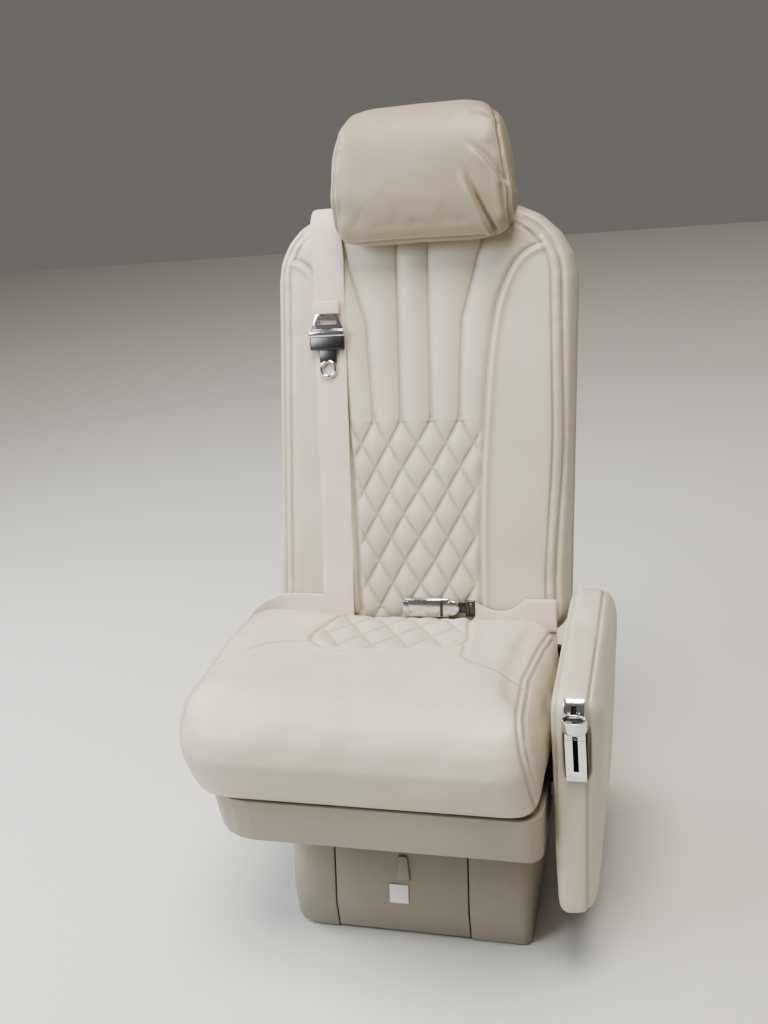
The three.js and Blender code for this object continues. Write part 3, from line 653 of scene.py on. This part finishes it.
def cut_box(piece, low, high):
    """Cuts a box out of a piece, between two corners in millimetres."""
    low, high = Vector(low) / 1000, Vector(high) / 1000
    deselect_all()
    bpy.ops.mesh.primitive_cube_add(size=1, location=(low + high) / 2, scale=high - low)
    tool = bpy.context.object
    keep_modifier(piece, "BOOLEAN", object=tool, operation="DIFFERENCE", solver="EXACT")
    bpy.data.objects.remove(tool)


ARM_FRONT, ARM_REAR, ARM_LOW, ARM_TOP = -276, 75, 120, 458
ARM_INNER_X = 222
ARM_TOP_THICK, ARM_THINNER = 62, 15     # its thickness on top, and how much it loses on the way down
ARM_SEAMS = ((-24, 0.8), (16, 1.8))     # off its mid-plane, and how deep each is drawn in
ARM_GUIDES = (-190, -50)


def sewn_armrest(arm):
    p = points_of(arm) * 1000
    n = points_of(arm, "normal")
    off = p[:, 1:] - np.array([(ARM_FRONT + ARM_REAR) / 2, (ARM_LOW + ARM_TOP) / 2])
    radius = np.where(off[:, 1] < 0, np.where(off[:, 0] < 0, 24, 44), np.where(off[:, 0] < 0, 22, 70))
    inset = inside_rounded(off, ((ARM_REAR - ARM_FRONT) / 2, (ARM_TOP - ARM_LOW) / 2), radius)
    down = 1 - (p[:, 2] - ARM_LOW) / (ARM_TOP - ARM_LOW)
    middle_x = ARM_INNER_X - 4 * down + (ARM_TOP_THICK - ARM_THINNER * down) * 0.5
    rim = 1 - ramp(np.abs(n[:, 0]), 0.75, 0.9)
    seams = []
    rise = np.zeros(len(p))
    for place, depth in ARM_SEAMS:
        sew(seams, rise, p[:, 0] - middle_x - place, p[:, 1] + p[:, 2], rim, depth, 2.4)
    rise += 1.1 * ramp(n[:, 0], 0.3, 0.7) * ramp(inset, 10, 60)
    place_points(arm, (p + n * rise[:, None]) / 1000)
    note_seams(arm, seams)


armrest_pad = swollen_pad("armrest", armrest_free, voxel=0.005, shrink=0.002, cap=0.004)
sewn_armrest(armrest_pad)
for guide_y in ARM_GUIDES:
    cut_box(armrest_pad, (190, guide_y - 11.8, 50), (230.8, guide_y + 11.8, 420.5))
cut_box(armrest_pad, (238.1, -300, 344.8), (265.9, -263.6, 419.5))
smooth_faces(armrest_pad, 40)
armrest_pad.data.materials.append(ivory_leather)
belongs(armrest_pad, "armrest", "leather", "armrest")


# Shoulder strap and lap straps.
# Polyester webbing 48 mm wide in beige, woven in a fine rib with a firm selvedge. The shoulder strap runs
# from its reel over the back and down the face into the lap belt, which stands on edge behind the cushion.
WEBBING_WIDE, WEBBING_THICK, ROW_STEP = 48, 2.2, 6      # millimetres, as the weave's measures below
RIB_STEP, TWILL_STEP, TWILL_TURN = 2.2, 1.25, 5.5
SELVEDGE = (20.6, 21.6)


def webbing_finish(name, colour):
    material, tree, place = patterned(name, colour, 0.8)
    flat = wired(tree, "SeparateXYZ", {0: wired(tree, "UVMap", uv_map="webbing").outputs[0]})
    across, along = flat.outputs[0], flat.outputs[1]
    rib = reckon(tree, "SINE", reckon(tree, "MULTIPLY", across, 2 * math.pi / RIB_STEP))
    slant = reckon(tree, "ADD", along, reckon(tree, "PINGPONG", across, TWILL_TURN))
    twill = reckon(tree, "SINE", reckon(tree, "MULTIPLY", slant, 2 * math.pi / TWILL_STEP))
    edge = between(tree, reckon(tree, "ABSOLUTE", across), *SELVEDGE)
    fuzz = noise(tree, place, 900, 2)
    tone = noise(tree, place, 9, 3)
    height = reckon(tree, "MULTIPLY_ADD", rib, 0.35, reckon(tree, "MULTIPLY", twill, 0.45))
    height = reckon(tree, "MULTIPLY_ADD", fuzz, 0.5, height)
    height = reckon(tree, "MULTIPLY_ADD", edge, 0.7, height)
    shade = tinted(tree, between(tree, twill, -0.9, 0.9), toned(colour, 0.72), colour)
    shade = tinted(tree, between(tree, tone, 0.35, 0.7, 0, 0.25), shade, toned(colour, 0.86))
    join_pattern(tree, shade, None, height, 0.6, 0.0004, sheen_weight=0.25, sheen_roughness=0.45)
    return material


beige_webbing = webbing_finish("beige_webbing", (0.88, 0.76, 0.685))


def webbing_strap(name, path, ripple=0.0):
    """A strap along rows of x, y, z and side x, y, z in millimetres, drawn smoothly through them."""
    rows = np.array(smooth_row(path, 8))
    hop = np.linalg.norm(np.diff(rows[:, :3], axis=0), axis=1)
    run = np.concatenate([[0], np.cumsum(hop)])
    count = max(8, int(run[-1] / ROW_STEP))
    even = np.linspace(0, run[-1], count + 1)
    rows = np.stack([np.interp(even, run, rows[:, k]) for k in range(6)], axis=1)
    centre, side = rows[:, :3], rows[:, 3:] / np.linalg.norm(rows[:, 3:], axis=1, keepdims=True)
    along = np.gradient(centre, axis=0)
    along /= np.linalg.norm(along, axis=1, keepdims=True)
    normal = np.cross(side, along)
    deselect_all()
    bpy.ops.mesh.primitive_grid_add(x_subdivisions=8, y_subdivisions=count, size=1, calc_uvs=True)
    strap = bpy.context.object
    strap.name = name
    grid = points_of(strap)
    row = np.rint((grid[:, 1] + 0.5) * count).astype(int)
    share = grid[:, 0] * WEBBING_WIDE
    crown = 0.35 * (1 - (2 * grid[:, 0]) ** 2)
    crown += ripple * np.sin(even[row] / 19 + share / 12) * np.sin(even[row] / 47 + 1.1)
    strap.data.uv_layers[0].name = "webbing"
    for loop in strap.data.loops:
        spot = loop.vertex_index
        strap.data.uv_layers[0].data[loop.index].uv = (share[spot], even[row[spot]])
    place_points(strap, (centre[row] + side[row] * share[:, None] + normal[row] * crown[:, None]) / 1000)
    keep_modifier(strap, "SOLIDIFY", thickness=WEBBING_THICK / 1000, offset=0)
    keep_modifier(strap, "BEVEL", width=0.0008, segments=2, limit_method="ANGLE")
    smooth_faces(strap, 50)
    strap.data.materials.append(beige_webbing)
    return strap


def on_back(rows):
    """Rows in the back's own millimetres, moved to world millimetres."""
    return from_back(np.array(rows, float)) * 1000


HARNESS_X = -134
DOWN_THE_FACE = [(40, -94.4), (75, -94.4), (104, -93.6), (150, -89.5), (260, -87.6), (356, -86.6),
                 (470, -84.5), (560, -82.5), (600, -81.5)]
OVER_THE_TOP = [(-80, 630), (-75, 650), (-62, 664.5), (-36, 670), (-8, 670), (14, 666), (30, 653),
                (37, 630), (37.5, 566)]
shoulder_path = on_back([(HARNESS_X + 3, y, z) for z, y in DOWN_THE_FACE]
                        + [(HARNESS_X, y, z) for y, z in OVER_THE_TOP])
shoulder_strap_web = webbing_strap("shoulder_strap_web", [(*p, 1, 0, 0) for p in shoulder_path], ripple=0.9)
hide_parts("shoulder_strap")
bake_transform(shoulder_strap_web)

LAP_DEPTH = -91.4
CREVICE = [(-108, LAP_DEPTH, 63), (-134, LAP_DEPTH, 64), (-158, LAP_DEPTH, 65), (-212, LAP_DEPTH, 65)]
ROUND_THE_CORNER = [
    (-232, 24.5, 404, -0.1, 0.15, 0.98), (-254, 14, 393, -0.4, -0.2, 0.88),
    (-269, -4, 374, -0.35, -0.72, 0.6),
    (-274.3, -20, 350, -0.02, -0.96, 0.28), (-274.3, -27, 330, 0, -1, 0.1), (-270, -28, 315, 0, -1, 0),
    (-261.5, -28, 301, 0, -1, 0), (-255.9, -28, 290, 0, -1, 0), (-255.9, -28, 266, 0, -1, 0),
]
RIGHT_RISING = [(176, LAP_DEPTH, z) for z in (-48, 20, 87)]
RIGHT_FOLDED = [(199, -93.7, 63), (165, -94.6, 63), (148, -95.2, 57), (132, -94.9, 47), (112, -94.2, 45),
                (96, -93.8, 50), (78, -93.6, 58)]
lap_strap_left_web = webbing_strap(
    "lap_strap_left_web", [(*p, 0, lean_y, lean_z) for p in on_back(CREVICE)] + ROUND_THE_CORNER)
belongs(lap_strap_left_web, "seat", "webbing", "lap_strap_left")
lap_strap_rising_web = webbing_strap("lap_strap_rising_web", [(*p, 1, 0, 0) for p in on_back(RIGHT_RISING)])
belongs(lap_strap_rising_web, "seat", "webbing", "lap_strap_right")
lap_strap_right_web = webbing_strap(
    "lap_strap_right_web", [(*p, 0, lean_y, lean_z) for p in on_back(RIGHT_FOLDED)])
belongs(lap_strap_right_web, "seat", "webbing")


# Belt fittings.
# A lift-latch buckle of polished steel with its tongue on the right lap strap. The shoulder strap carries a
# flared end plate, an adjuster with a chromed bar, and the ring that goes over the buckle's stud.
def block(name, low, high, round_by, segments=3):
    """A rounded block between two corners, in millimetres."""
    low, high = Vector(low) / 1000, Vector(high) / 1000
    deselect_all()
    bpy.ops.mesh.primitive_cube_add(size=1, location=(low + high) / 2, scale=high - low)
    piece = bpy.context.object
    piece.name = name
    bpy.ops.object.transform_apply(location=True, rotation=True, scale=True)
    shape_all(piece, bpy.ops.mesh.bevel, offset=round_by / 1000, segments=segments, affect="EDGES")
    return piece


def rod(name, radius, depth, place=(0, 0, 0), tilt=0, sides=40):
    """A round bar in millimetres, upright and then tilted about x by degrees."""
    deselect_all()
    bpy.ops.mesh.primitive_cylinder_add(vertices=sides, radius=radius / 1000, depth=depth / 1000,
                                        location=Vector(place) / 1000, rotation=(math.radians(tilt), 0, 0))
    piece = bpy.context.object
    piece.name = name
    bpy.ops.object.transform_apply(location=True, rotation=True, scale=True)
    return piece


def finished(piece, material, angle=35):
    smooth_faces(piece, angle)
    piece.data.materials.append(material)
    return piece


def lean(piece, material):
    """Turns a piece drawn upright, in the back's own millimetres, to where the back leans."""
    place_points(piece, from_back(points_of(piece) * 1000))
    return finished(piece, material)


def metal_finish(name, colour, roughness, brushed=0.0, along=(1, 1, 1)):
    """Metal with fine lines along its rolling direction and faint handling marks."""
    material, tree, place = patterned(name, colour, roughness)
    lines = noise(tree, wired(tree, "Mapping", {"Vector": place, "Scale": along}).outputs[0], 420, 3)
    marks = noise(tree, place, 24, 5, Roughness=0.62)
    dull = reckon(tree, "MULTIPLY_ADD", lines, brushed * 0.3, roughness - 0.09)
    dull = reckon(tree, "MULTIPLY_ADD", marks, 0.18, dull)
    shade = tinted(tree, between(tree, marks, 0.35, 0.75), colour, toned(colour, 0.8))
    join_pattern(tree, shade, dull, lines, 0.1 + 0.4 * brushed, 0.0001, metallic=1)
    return material


def moulded_finish(name, colour, roughness=0.5, grain=520):
    """Moulded plastic with an even spark-eroded grain."""
    material, tree, place = patterned(name, colour, roughness)
    grit = wired(tree, "TexVoronoi", {"Vector": place, "Scale": grain}, feature="F1").outputs["Distance"]
    tone = noise(tree, place, 11, 4)
    worn = tuple(part + 0.004 for part in toned(colour, 1.18))
    shade = tinted(tree, between(tree, tone, 0.3, 0.75), colour, worn)
    dull = reckon(tree, "MULTIPLY_ADD", tone, 0.18, roughness - 0.09)
    join_pattern(tree, shade, dull, grit, 0.35, 0.0003)
    return material


polished_chrome = metal_finish("polished_chrome", (0.80, 0.80, 0.81), 0.16)
dark_steel = metal_finish("dark_steel", (0.17, 0.165, 0.165), 0.34)
black_plastic = moulded_finish("black_plastic", (0.018, 0.018, 0.020))

buckle_body = block("buckle_body", (-26.5, -101, 58), (42, -90.6, 87), 2.4)
cut_box(buckle_body, (24, -99.2, 64), (50, -93, 81))
belongs(lean(buckle_body, polished_chrome), "seat", "chrome", "lap_buckle")
for name, low, high, round_by, metal, slot in (
    ("buckle_lid", (-25, -103.4, 59.4), (30, -101.1, 85.6), 1.0, polished_chrome, "chrome"),
    ("buckle_lip", (-27.5, -104.6, 62), (-19, -103.2, 83), 0.6, polished_chrome, "chrome"),
    ("buckle_hinge", (28.5, -103.9, 60.5), (32.5, -101.2, 84.5), 1.2, dark_steel, "steel"),
):
    belongs(lean(block(name, low, high, round_by), metal), "seat", slot)
buckle_boss = rod("buckle_boss", 11.8, 9.2, (45.5, -96.2, 72.2), 90)
keep_modifier(buckle_boss, "BEVEL", width=0.0022, segments=4, limit_method="ANGLE")
belongs(lean(buckle_boss, polished_chrome), "seat", "chrome")

tongue_blade = block("tongue_blade", (36, -96.3, 64.8), (72, -94.0, 80.2), 0.6, 2)
belongs(lean(tongue_blade, dark_steel), "seat", "steel")
tongue_frame = block("tongue_frame", (66, -97.6, 60), (80, -91.4, 84), 1.8)
cut_box(tongue_frame, (71.5, -100, 63.5), (76.5, -88, 80.5))
belongs(lean(tongue_frame, dark_steel), "seat", "steel", "lap_tongue")


STRAP_FACE = -88.2


def on_harness(name, half, near, far, low, high, round_by, segments=3):
    """A block across the shoulder strap, between two distances in front of its face."""
    left, right = HARNESS_X - half, HARNESS_X + half
    return block(name, (left, STRAP_FACE - far, low), (right, STRAP_FACE - near, high), round_by, segments)


END_PLATE_LOW, END_PLATE_TAPER = 492, 26        # where it starts to narrow, and over what height
end_plate = on_harness("end_plate", 25, 0.4, 3.6, 489, 521, 0.9)
flat_plate = points_of(end_plate) * 1000
narrowing = np.clip((flat_plate[:, 2] - END_PLATE_LOW) / END_PLATE_TAPER, 0, 1)
flat_plate[:, 0] = HARNESS_X + (flat_plate[:, 0] - HARNESS_X) * (1 - 0.45 * narrowing)
place_points(end_plate, flat_plate / 1000)
for half, low, high in ((8.5, 509.5, 515), (15, 496.5, 503.5)):
    cut_box(end_plate, (HARNESS_X - half, -100, low), (HARNESS_X + half, -80, high))
belongs(lean(end_plate, polished_chrome), "back", "chrome", "strap_fitting")
strap_hem = on_harness("strap_hem", 20, 0.2, 4.4, 512, 531, 1.6)
strap_hem.data.uv_layers[0].name = "webbing"
for corner in strap_hem.data.loops:
    spot = strap_hem.data.vertices[corner.vertex_index].co
    strap_hem.data.uv_layers[0].data[corner.index].uv = (spot.x * 1000 - HARNESS_X, spot.z * 1000)
belongs(lean(strap_hem, beige_webbing), "back", "webbing")
adjuster_bar = on_harness("adjuster_bar", 28, 1.0, 9.6, 478, 489, 3.6, 5)
belongs(lean(adjuster_bar, polished_chrome), "back", "chrome", "strap_adjuster")
belongs(lean(on_harness("adjuster_body", 26.5, 0.4, 7.4, 459, 479.5, 2.4), dark_steel), "back", "steel")
belongs(lean(on_harness("ring_tab", 13, 0.9, 3.6, 441, 461, 1.0), dark_steel), "back", "steel")
deselect_all()
bpy.ops.mesh.primitive_torus_add(
    major_radius=0.0112, minor_radius=0.0021, major_segments=40, minor_segments=10,
    location=(HARNESS_X / 1000, (STRAP_FACE - 2.6) / 1000, 0.431), rotation=(math.radians(90), 0, 0))
stud_ring = bpy.context.object
stud_ring.name = "stud_ring"
bpy.ops.object.transform_apply(location=True, rotation=True, scale=True)
belongs(lean(stud_ring, polished_chrome), "back", "chrome")


def bolt_head(name, place, facing, radius, height=3.6):
    """A hexagon head on a washer, its axis along facing, in millimetres."""
    head = rod(name, radius, height, (0, 0, height / 2 + 1), sides=6)
    shape_all(head, bpy.ops.mesh.bevel, offset=0.0005, segments=2, affect="EDGES")
    bpy.ops.object.mode_set(mode="EDIT")
    bpy.ops.mesh.select_all(action="DESELECT")
    bpy.ops.mesh.primitive_cylinder_add(vertices=24, radius=radius * 1.32 / 1000, depth=0.0012,
                                        location=(0, 0, 0.0006))
    bpy.ops.object.mode_set(mode="OBJECT")
    head.rotation_euler = Vector(facing).to_track_quat("Z", "Y").to_euler()
    head.location = Vector(place) / 1000
    bpy.ops.object.transform_apply(location=True, rotation=True, scale=True)
    return finished(head, polished_chrome)


def refinish(material, *nodes):
    for node in nodes:
        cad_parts[node].data.materials[0] = material


belongs(bolt_head("left_anchor_bolt", (-254.4, -28, 277), (-1, 0, 0), 6), "seat", "steel")
refinish(dark_steel, "belt_anchor_left", "belt_anchor_right")


# Seat controls.
# A chromed plate with a black slot runs up the armrest's front edge and over its corner. A stem through the
# slot carries a dished knob, which releases the tracks and the recline lock.
CONTROL_X, SLOT_HALF = 252, 3.2
control_escutcheon = welded_copy("control_plate", "control_escutcheon")
cut_box(control_escutcheon, (CONTROL_X - SLOT_HALF, -280, 398), (CONTROL_X + SLOT_HALF, -275, 406))
keep_modifier(control_escutcheon, "BEVEL", width=0.0006, segments=3, limit_method="ANGLE")
belongs(finished(control_escutcheon, polished_chrome), "armrest", "chrome", "control_plate")
refinish(black_plastic, "control_housing")

PLATE_BEND = ((-278.5, 405.2), (-278.5, 415), (-278.5, 426), (-278.5, 436), (-276.8, 444.3), (-272.6, 451.6),
              (-266.9, 456.6))     # y and z, up the armrest's front and over its corner
PLATE_HALF, SLOT_TOP = 12.5, 449.5
deselect_all()
bpy.ops.mesh.primitive_grid_add(x_subdivisions=5, y_subdivisions=18, size=1)
control_collar = bpy.context.object
control_collar.name = "control_collar"
flat_collar = points_of(control_collar)
bend = np.array(smooth_row(PLATE_BEND))
bend_run = np.concatenate([[0], np.cumsum(np.linalg.norm(np.diff(bend, axis=0), axis=1))])
up_collar = (flat_collar[:, 1] + 0.5) * bend_run[-1]
columns = ((-0.5, -PLATE_HALF), (-0.1, -SLOT_HALF), (0.1, SLOT_HALF), (0.5, PLATE_HALF))
place_points(control_collar, np.stack([
    CONTROL_X + along_line(flat_collar[:, 0], columns),
    np.interp(up_collar, bend_run, bend[:, 0]), np.interp(up_collar, bend_run, bend[:, 1]),
], axis=1) / 1000)
keep_modifier(control_collar, "SOLIDIFY", thickness=0.004, offset=-1)
control_collar.data.materials.append(polished_chrome)
control_collar.data.materials.append(black_plastic)


def pick_faces(piece, wanted):
    """Goes into edit mode with only the wanted faces selected, by their middle in millimetres and normal."""
    select_only(piece)
    bpy.ops.object.mode_set(mode="EDIT")
    bpy.ops.mesh.select_all(action="DESELECT")
    shape = bmesh.from_edit_mesh(piece.data)
    for face in shape.faces:
        if wanted(face.calc_center_median() * 1000, face.normal):
            face.select = True
    shape.select_flush_mode()
    bmesh.update_edit_mesh(piece.data)


pick_faces(control_collar,
           lambda spot, normal: normal.y < -0.3 and abs(spot.x - CONTROL_X) < 1 and spot.z < SLOT_TOP)
bpy.ops.mesh.inset(thickness=0.0002, depth=-0.0018)
control_collar.active_material_index = 1
bpy.ops.object.material_slot_assign()
bpy.ops.object.mode_set(mode="OBJECT")
keep_modifier(control_collar, "BEVEL", width=0.0006, segments=2, limit_method="ANGLE")
smooth_faces(control_collar, 40)
belongs(control_collar, "armrest", "chrome")

control_stem = rod("control_stem", 2.6, 34, (CONTROL_X, -279.5, 412.5), 44, 20)
belongs(finished(control_stem, polished_chrome), "armrest", "chrome", "control_lever")

# Each inset's width and rise in metres, from the rim inwards.
KNOB_DISH = ((0.0016, 0.0), (0.0010, -0.0014), (0.0026, -0.0010), (0.0036, -0.0004))
KNOB_FOOT = ((0.0004, -0.0030), (0.0013, -0.0022), (0.0024, -0.0014), (0.0032, -0.0006))
DISH_RADIUS = 0.0126
KNOB_OVAL = (1, 0.66, 1)
KNOB_PLACE = (0.2535, -0.291, 0.437)
control_knob = rod("control_knob", 14.8, 12.5, sides=48)
for way, steps in ((1, KNOB_DISH), (-1, KNOB_FOOT)):
    pick_faces(control_knob, lambda spot, normal: normal.z * way > 0.9)
    for rim, rise in steps:
        bpy.ops.mesh.inset(thickness=rim)
        bpy.ops.transform.translate(value=(0, 0, rise))
    bpy.ops.object.mode_set(mode="OBJECT")
keep_modifier(control_knob, "BEVEL", width=0.0007, segments=2, limit_method="ANGLE",
              angle_limit=math.radians(50))
control_knob.data.materials.append(polished_chrome)
control_knob.data.materials.append(dark_steel)
for face in control_knob.data.polygons:
    if face.normal.z > 0.2 and face.center.xy.length < DISH_RADIUS:
        face.material_index = 1
place_points(control_knob, points_of(control_knob) * KNOB_OVAL + KNOB_PLACE)
smooth_faces(control_knob, 35)
belongs(control_knob, "armrest", "chrome")


# Back shell, literature pocket and reel cover.
# The rear of the back is a moulded shell wrapped in the trim leather, with a seam down each side. A gathered
# pocket is sewn on low, and the shoulder strap's inertia reel sits under a moulded cover.
trim_leather = leather("trim_leather", (0.50, 0.46, 0.385), wrinkles=0.6)


def sewn_cover(node, name, voxel, smoothing, pattern):
    """A leather cover behind the back. Pattern gives how far it rises in millimetres, and its seams."""
    cover = even_skin(node, name, voxel, smoothing)
    p = points_of(cover)
    n = points_of(cover, "normal")
    rise, seams = pattern(to_back(p), -forward_of(n))
    place_points(cover, p + n * rise[:, None] / 1000)
    note_seams(cover, seams)
    smooth_faces(cover)
    cover.data.materials.append(trim_leather)
    belongs(cover, "back", "leather", node)


SHELL_SEAM_INSET, SHELL_SEAM_Z = 52, 470
POCKET_LEFT, POCKET_RIGHT, POCKET_FOOT, POCKET_BAND = -143, 133, 163, 404


def shell_pattern(q, backward):
    depth = inside_edge(q)
    behind = ramp(backward, 0.3, 0.7) * ramp(depth, 44, SHELL_SEAM_INSET)
    rise, seams = np.zeros(len(q)), []
    for off in (depth - SHELL_SEAM_INSET, q[:, 2] - SHELL_SEAM_Z):
        sew(seams, rise, off, q[:, 2] + q[:, 0], behind, 1.6, 3.0)
    return rise, seams


def pocket_pattern(q, backward):
    x, z = q[:, 0], q[:, 2]
    outward = ramp(backward, 0.2, 0.7)
    across = np.clip((x + 5) / 145, -1, 1)
    up = np.clip((z - 156) / 270, 0, 1)
    belly = (1 - across ** 4) * np.sin(np.pi * up ** 0.75)
    gather = np.sin(x / 2.9 + 0.9 * np.sin(x / 11)) * ramp(up, 0.72, 0.93)
    rise, seams = outward * (3.2 * belly + 0.8 * gather), []
    sew(seams, rise, z - POCKET_BAND, x, outward, 1.4, 3)
    return rise, [*seams, (x - POCKET_LEFT, z, outward), (x - POCKET_RIGHT, z, outward),
                  (z - POCKET_FOOT, x, outward)]


sewn_cover("back_shell", "back_shell_wrap", 0.004, 10, shell_pattern)
sewn_cover("back_pocket", "gathered_pocket", 0.0035, 5, pocket_pattern)


def rounded_cover(node, name, body, corner, edge, material, slot):
    """A welded copy whose coarse corner facets and sharp edges are rounded over, in millimetres."""
    piece = welded_copy(node, name)
    shape_all(piece, bpy.ops.mesh.dissolve_limited, angle_limit=math.radians(2))
    shape = bmesh.new()
    shape.from_mesh(piece.data)
    weight = shape.edges.layers.float.new("bevel_weight_edge")
    for rim in shape.edges:
        turn = math.degrees(rim.calc_face_angle(0))
        rim[weight] = edge / corner if turn > 40 else 1.0 if turn > 6 else 0.0
    shape.to_mesh(piece.data)
    shape.free()
    keep_modifier(piece, "BEVEL", width=corner / 1000, segments=3, limit_method="WEIGHT")
    return belongs(finished(piece, material, 40), body, slot, node)


def screwed(name, body, spots):
    """Small screws in a cover on the back, each at x, y, z in the back's own millimetres."""
    for number, place in enumerate(on_back(spots), 1):
        belongs(bolt_head(f"{name}_{number}", place, (0, lean_z, -lean_y), 2.4, 1.6), body, "steel")


rounded_cover("reel_cover", "reel_housing", "back", 3.0, 3.0, black_plastic, "dark_plastic")
screwed("reel_screw", "back", [(x, 54.2, z) for x in (-159, -109) for z in (503, 549)])
# The panel leather is darker than the ivory: partly its own darker tone, partly painted shade for the shadow
# under the cushion's overhang.
panel_leather_painted_shade = leather("panel_leather_painted_shade", (0.38, 0.345, 0.285), wrinkles=0.5, sewn=False)
carrier_cover = block("carrier_cover", (-61, -46.5, 690), (109, -40.5, 762), 2.9, 4)
screwed("cover_screw", "headrest", [(x, -40.7, z) for x in (-54, 102) for z in (697, 755)])
belongs(lean(carrier_cover, panel_leather_painted_shade), "headrest", "trim_leather")
blade_bezel = block("blade_bezel", (-17, -5.5, 662.5), (57, 11.5, 668.5), 1.8)
cut_box(blade_bezel, (-11.5, -1.5, 650), (51.5, 7.5, 680))
belongs(lean(blade_bezel, black_plastic), "back", "dark_plastic")


# Skirt round the seat pan.
# Four trim panels of thin board under leather clip to the pan below the cushion and close the space under
# the back. The leather is glued over their edges, so no stitching shows.
def trim_panel(node, body, corner, edge, wraps=()):
    """A leather-wrapped board; wraps are its upright edges, in millimetres of x, and how far the leather
    brings each one out."""
    panel = rounded_cover(node, f"{node}_panel", body, corner, edge, panel_leather_painted_shade, "trim_leather")
    p = points_of(panel) * 1000
    for x, out in wraps:
        p[:, 0] += out * (1 - ramp(np.abs(p[:, 0] - x), 2.5, 6))
    place_points(panel, p / 1000)


for side in ("front", "left", "rear", "right"):
    trim_panel(f"skirt_{side}", "seat", 7, 2.2)


# Pedestal covers and the life-vest door.
# Leather-wrapped covers hide the seat's legs. The middle front panel drops on a pin along its lower edge to
# reach the life vest; it has a plain plate and a pull tab.
trim_panel("shroud_left", "base", 4, 1.6, [(-116, 1.6)])
trim_panel("shroud_right", "base", 4, 1.6, [(86, -1.6)])
trim_panel("shroud_rear", "base", 4, 1.6)
trim_panel("vest_door", "vest_door", 1.6, 1.6, [(-111, -1.5), (81, 1.5)])

plate_white = moulded_finish("plate_white", (0.80, 0.79, 0.76), 0.42, 900)
rounded_cover("vest_label", "blank_plate", "vest_door", 0.5, 0.5, plate_white, "white_plate")
rounded_cover("vest_tab", "pull_tab", "vest_door", 1.2, 1.2, panel_leather_painted_shade, "leather")


# Metalwork.
# The legs, carriage and pan are machined aluminium. The tracks, rails, guides and recline hinge are satin
# steel, bolted together. They show at the back, under the seat and when a part is moved.
milled_aluminium = metal_finish("milled_aluminium", (0.60, 0.61, 0.62), 0.36, 0.7, (0.08, 1, 1))
satin_steel = metal_finish("satin_steel", (0.36, 0.37, 0.39), 0.34, 0.5, (1, 0.07, 1))
refinish(milled_aluminium, "base_frame", "carriage", "seat_pan")
refinish(satin_steel, "track_rail_left", "track_rail_right", "cross_rail_front", "cross_rail_rear",
         "hinge_bracket_left", "hinge_bracket_right", "hinge_arm_left", "hinge_arm_right",
         "arm_guide_front", "arm_guide_rear", "headrest_bracket", "door_pin")
refinish(black_plastic, "vest_tray")

for side, x, facing in (("left", -186.8, -1), ("right", 182.8, 1)):
    pin_head = bolt_head(f"recline_pin_head_{side}", (x, 97, 320), (facing, 0, 0), 6.5)
    belongs(pin_head, "back", "steel")
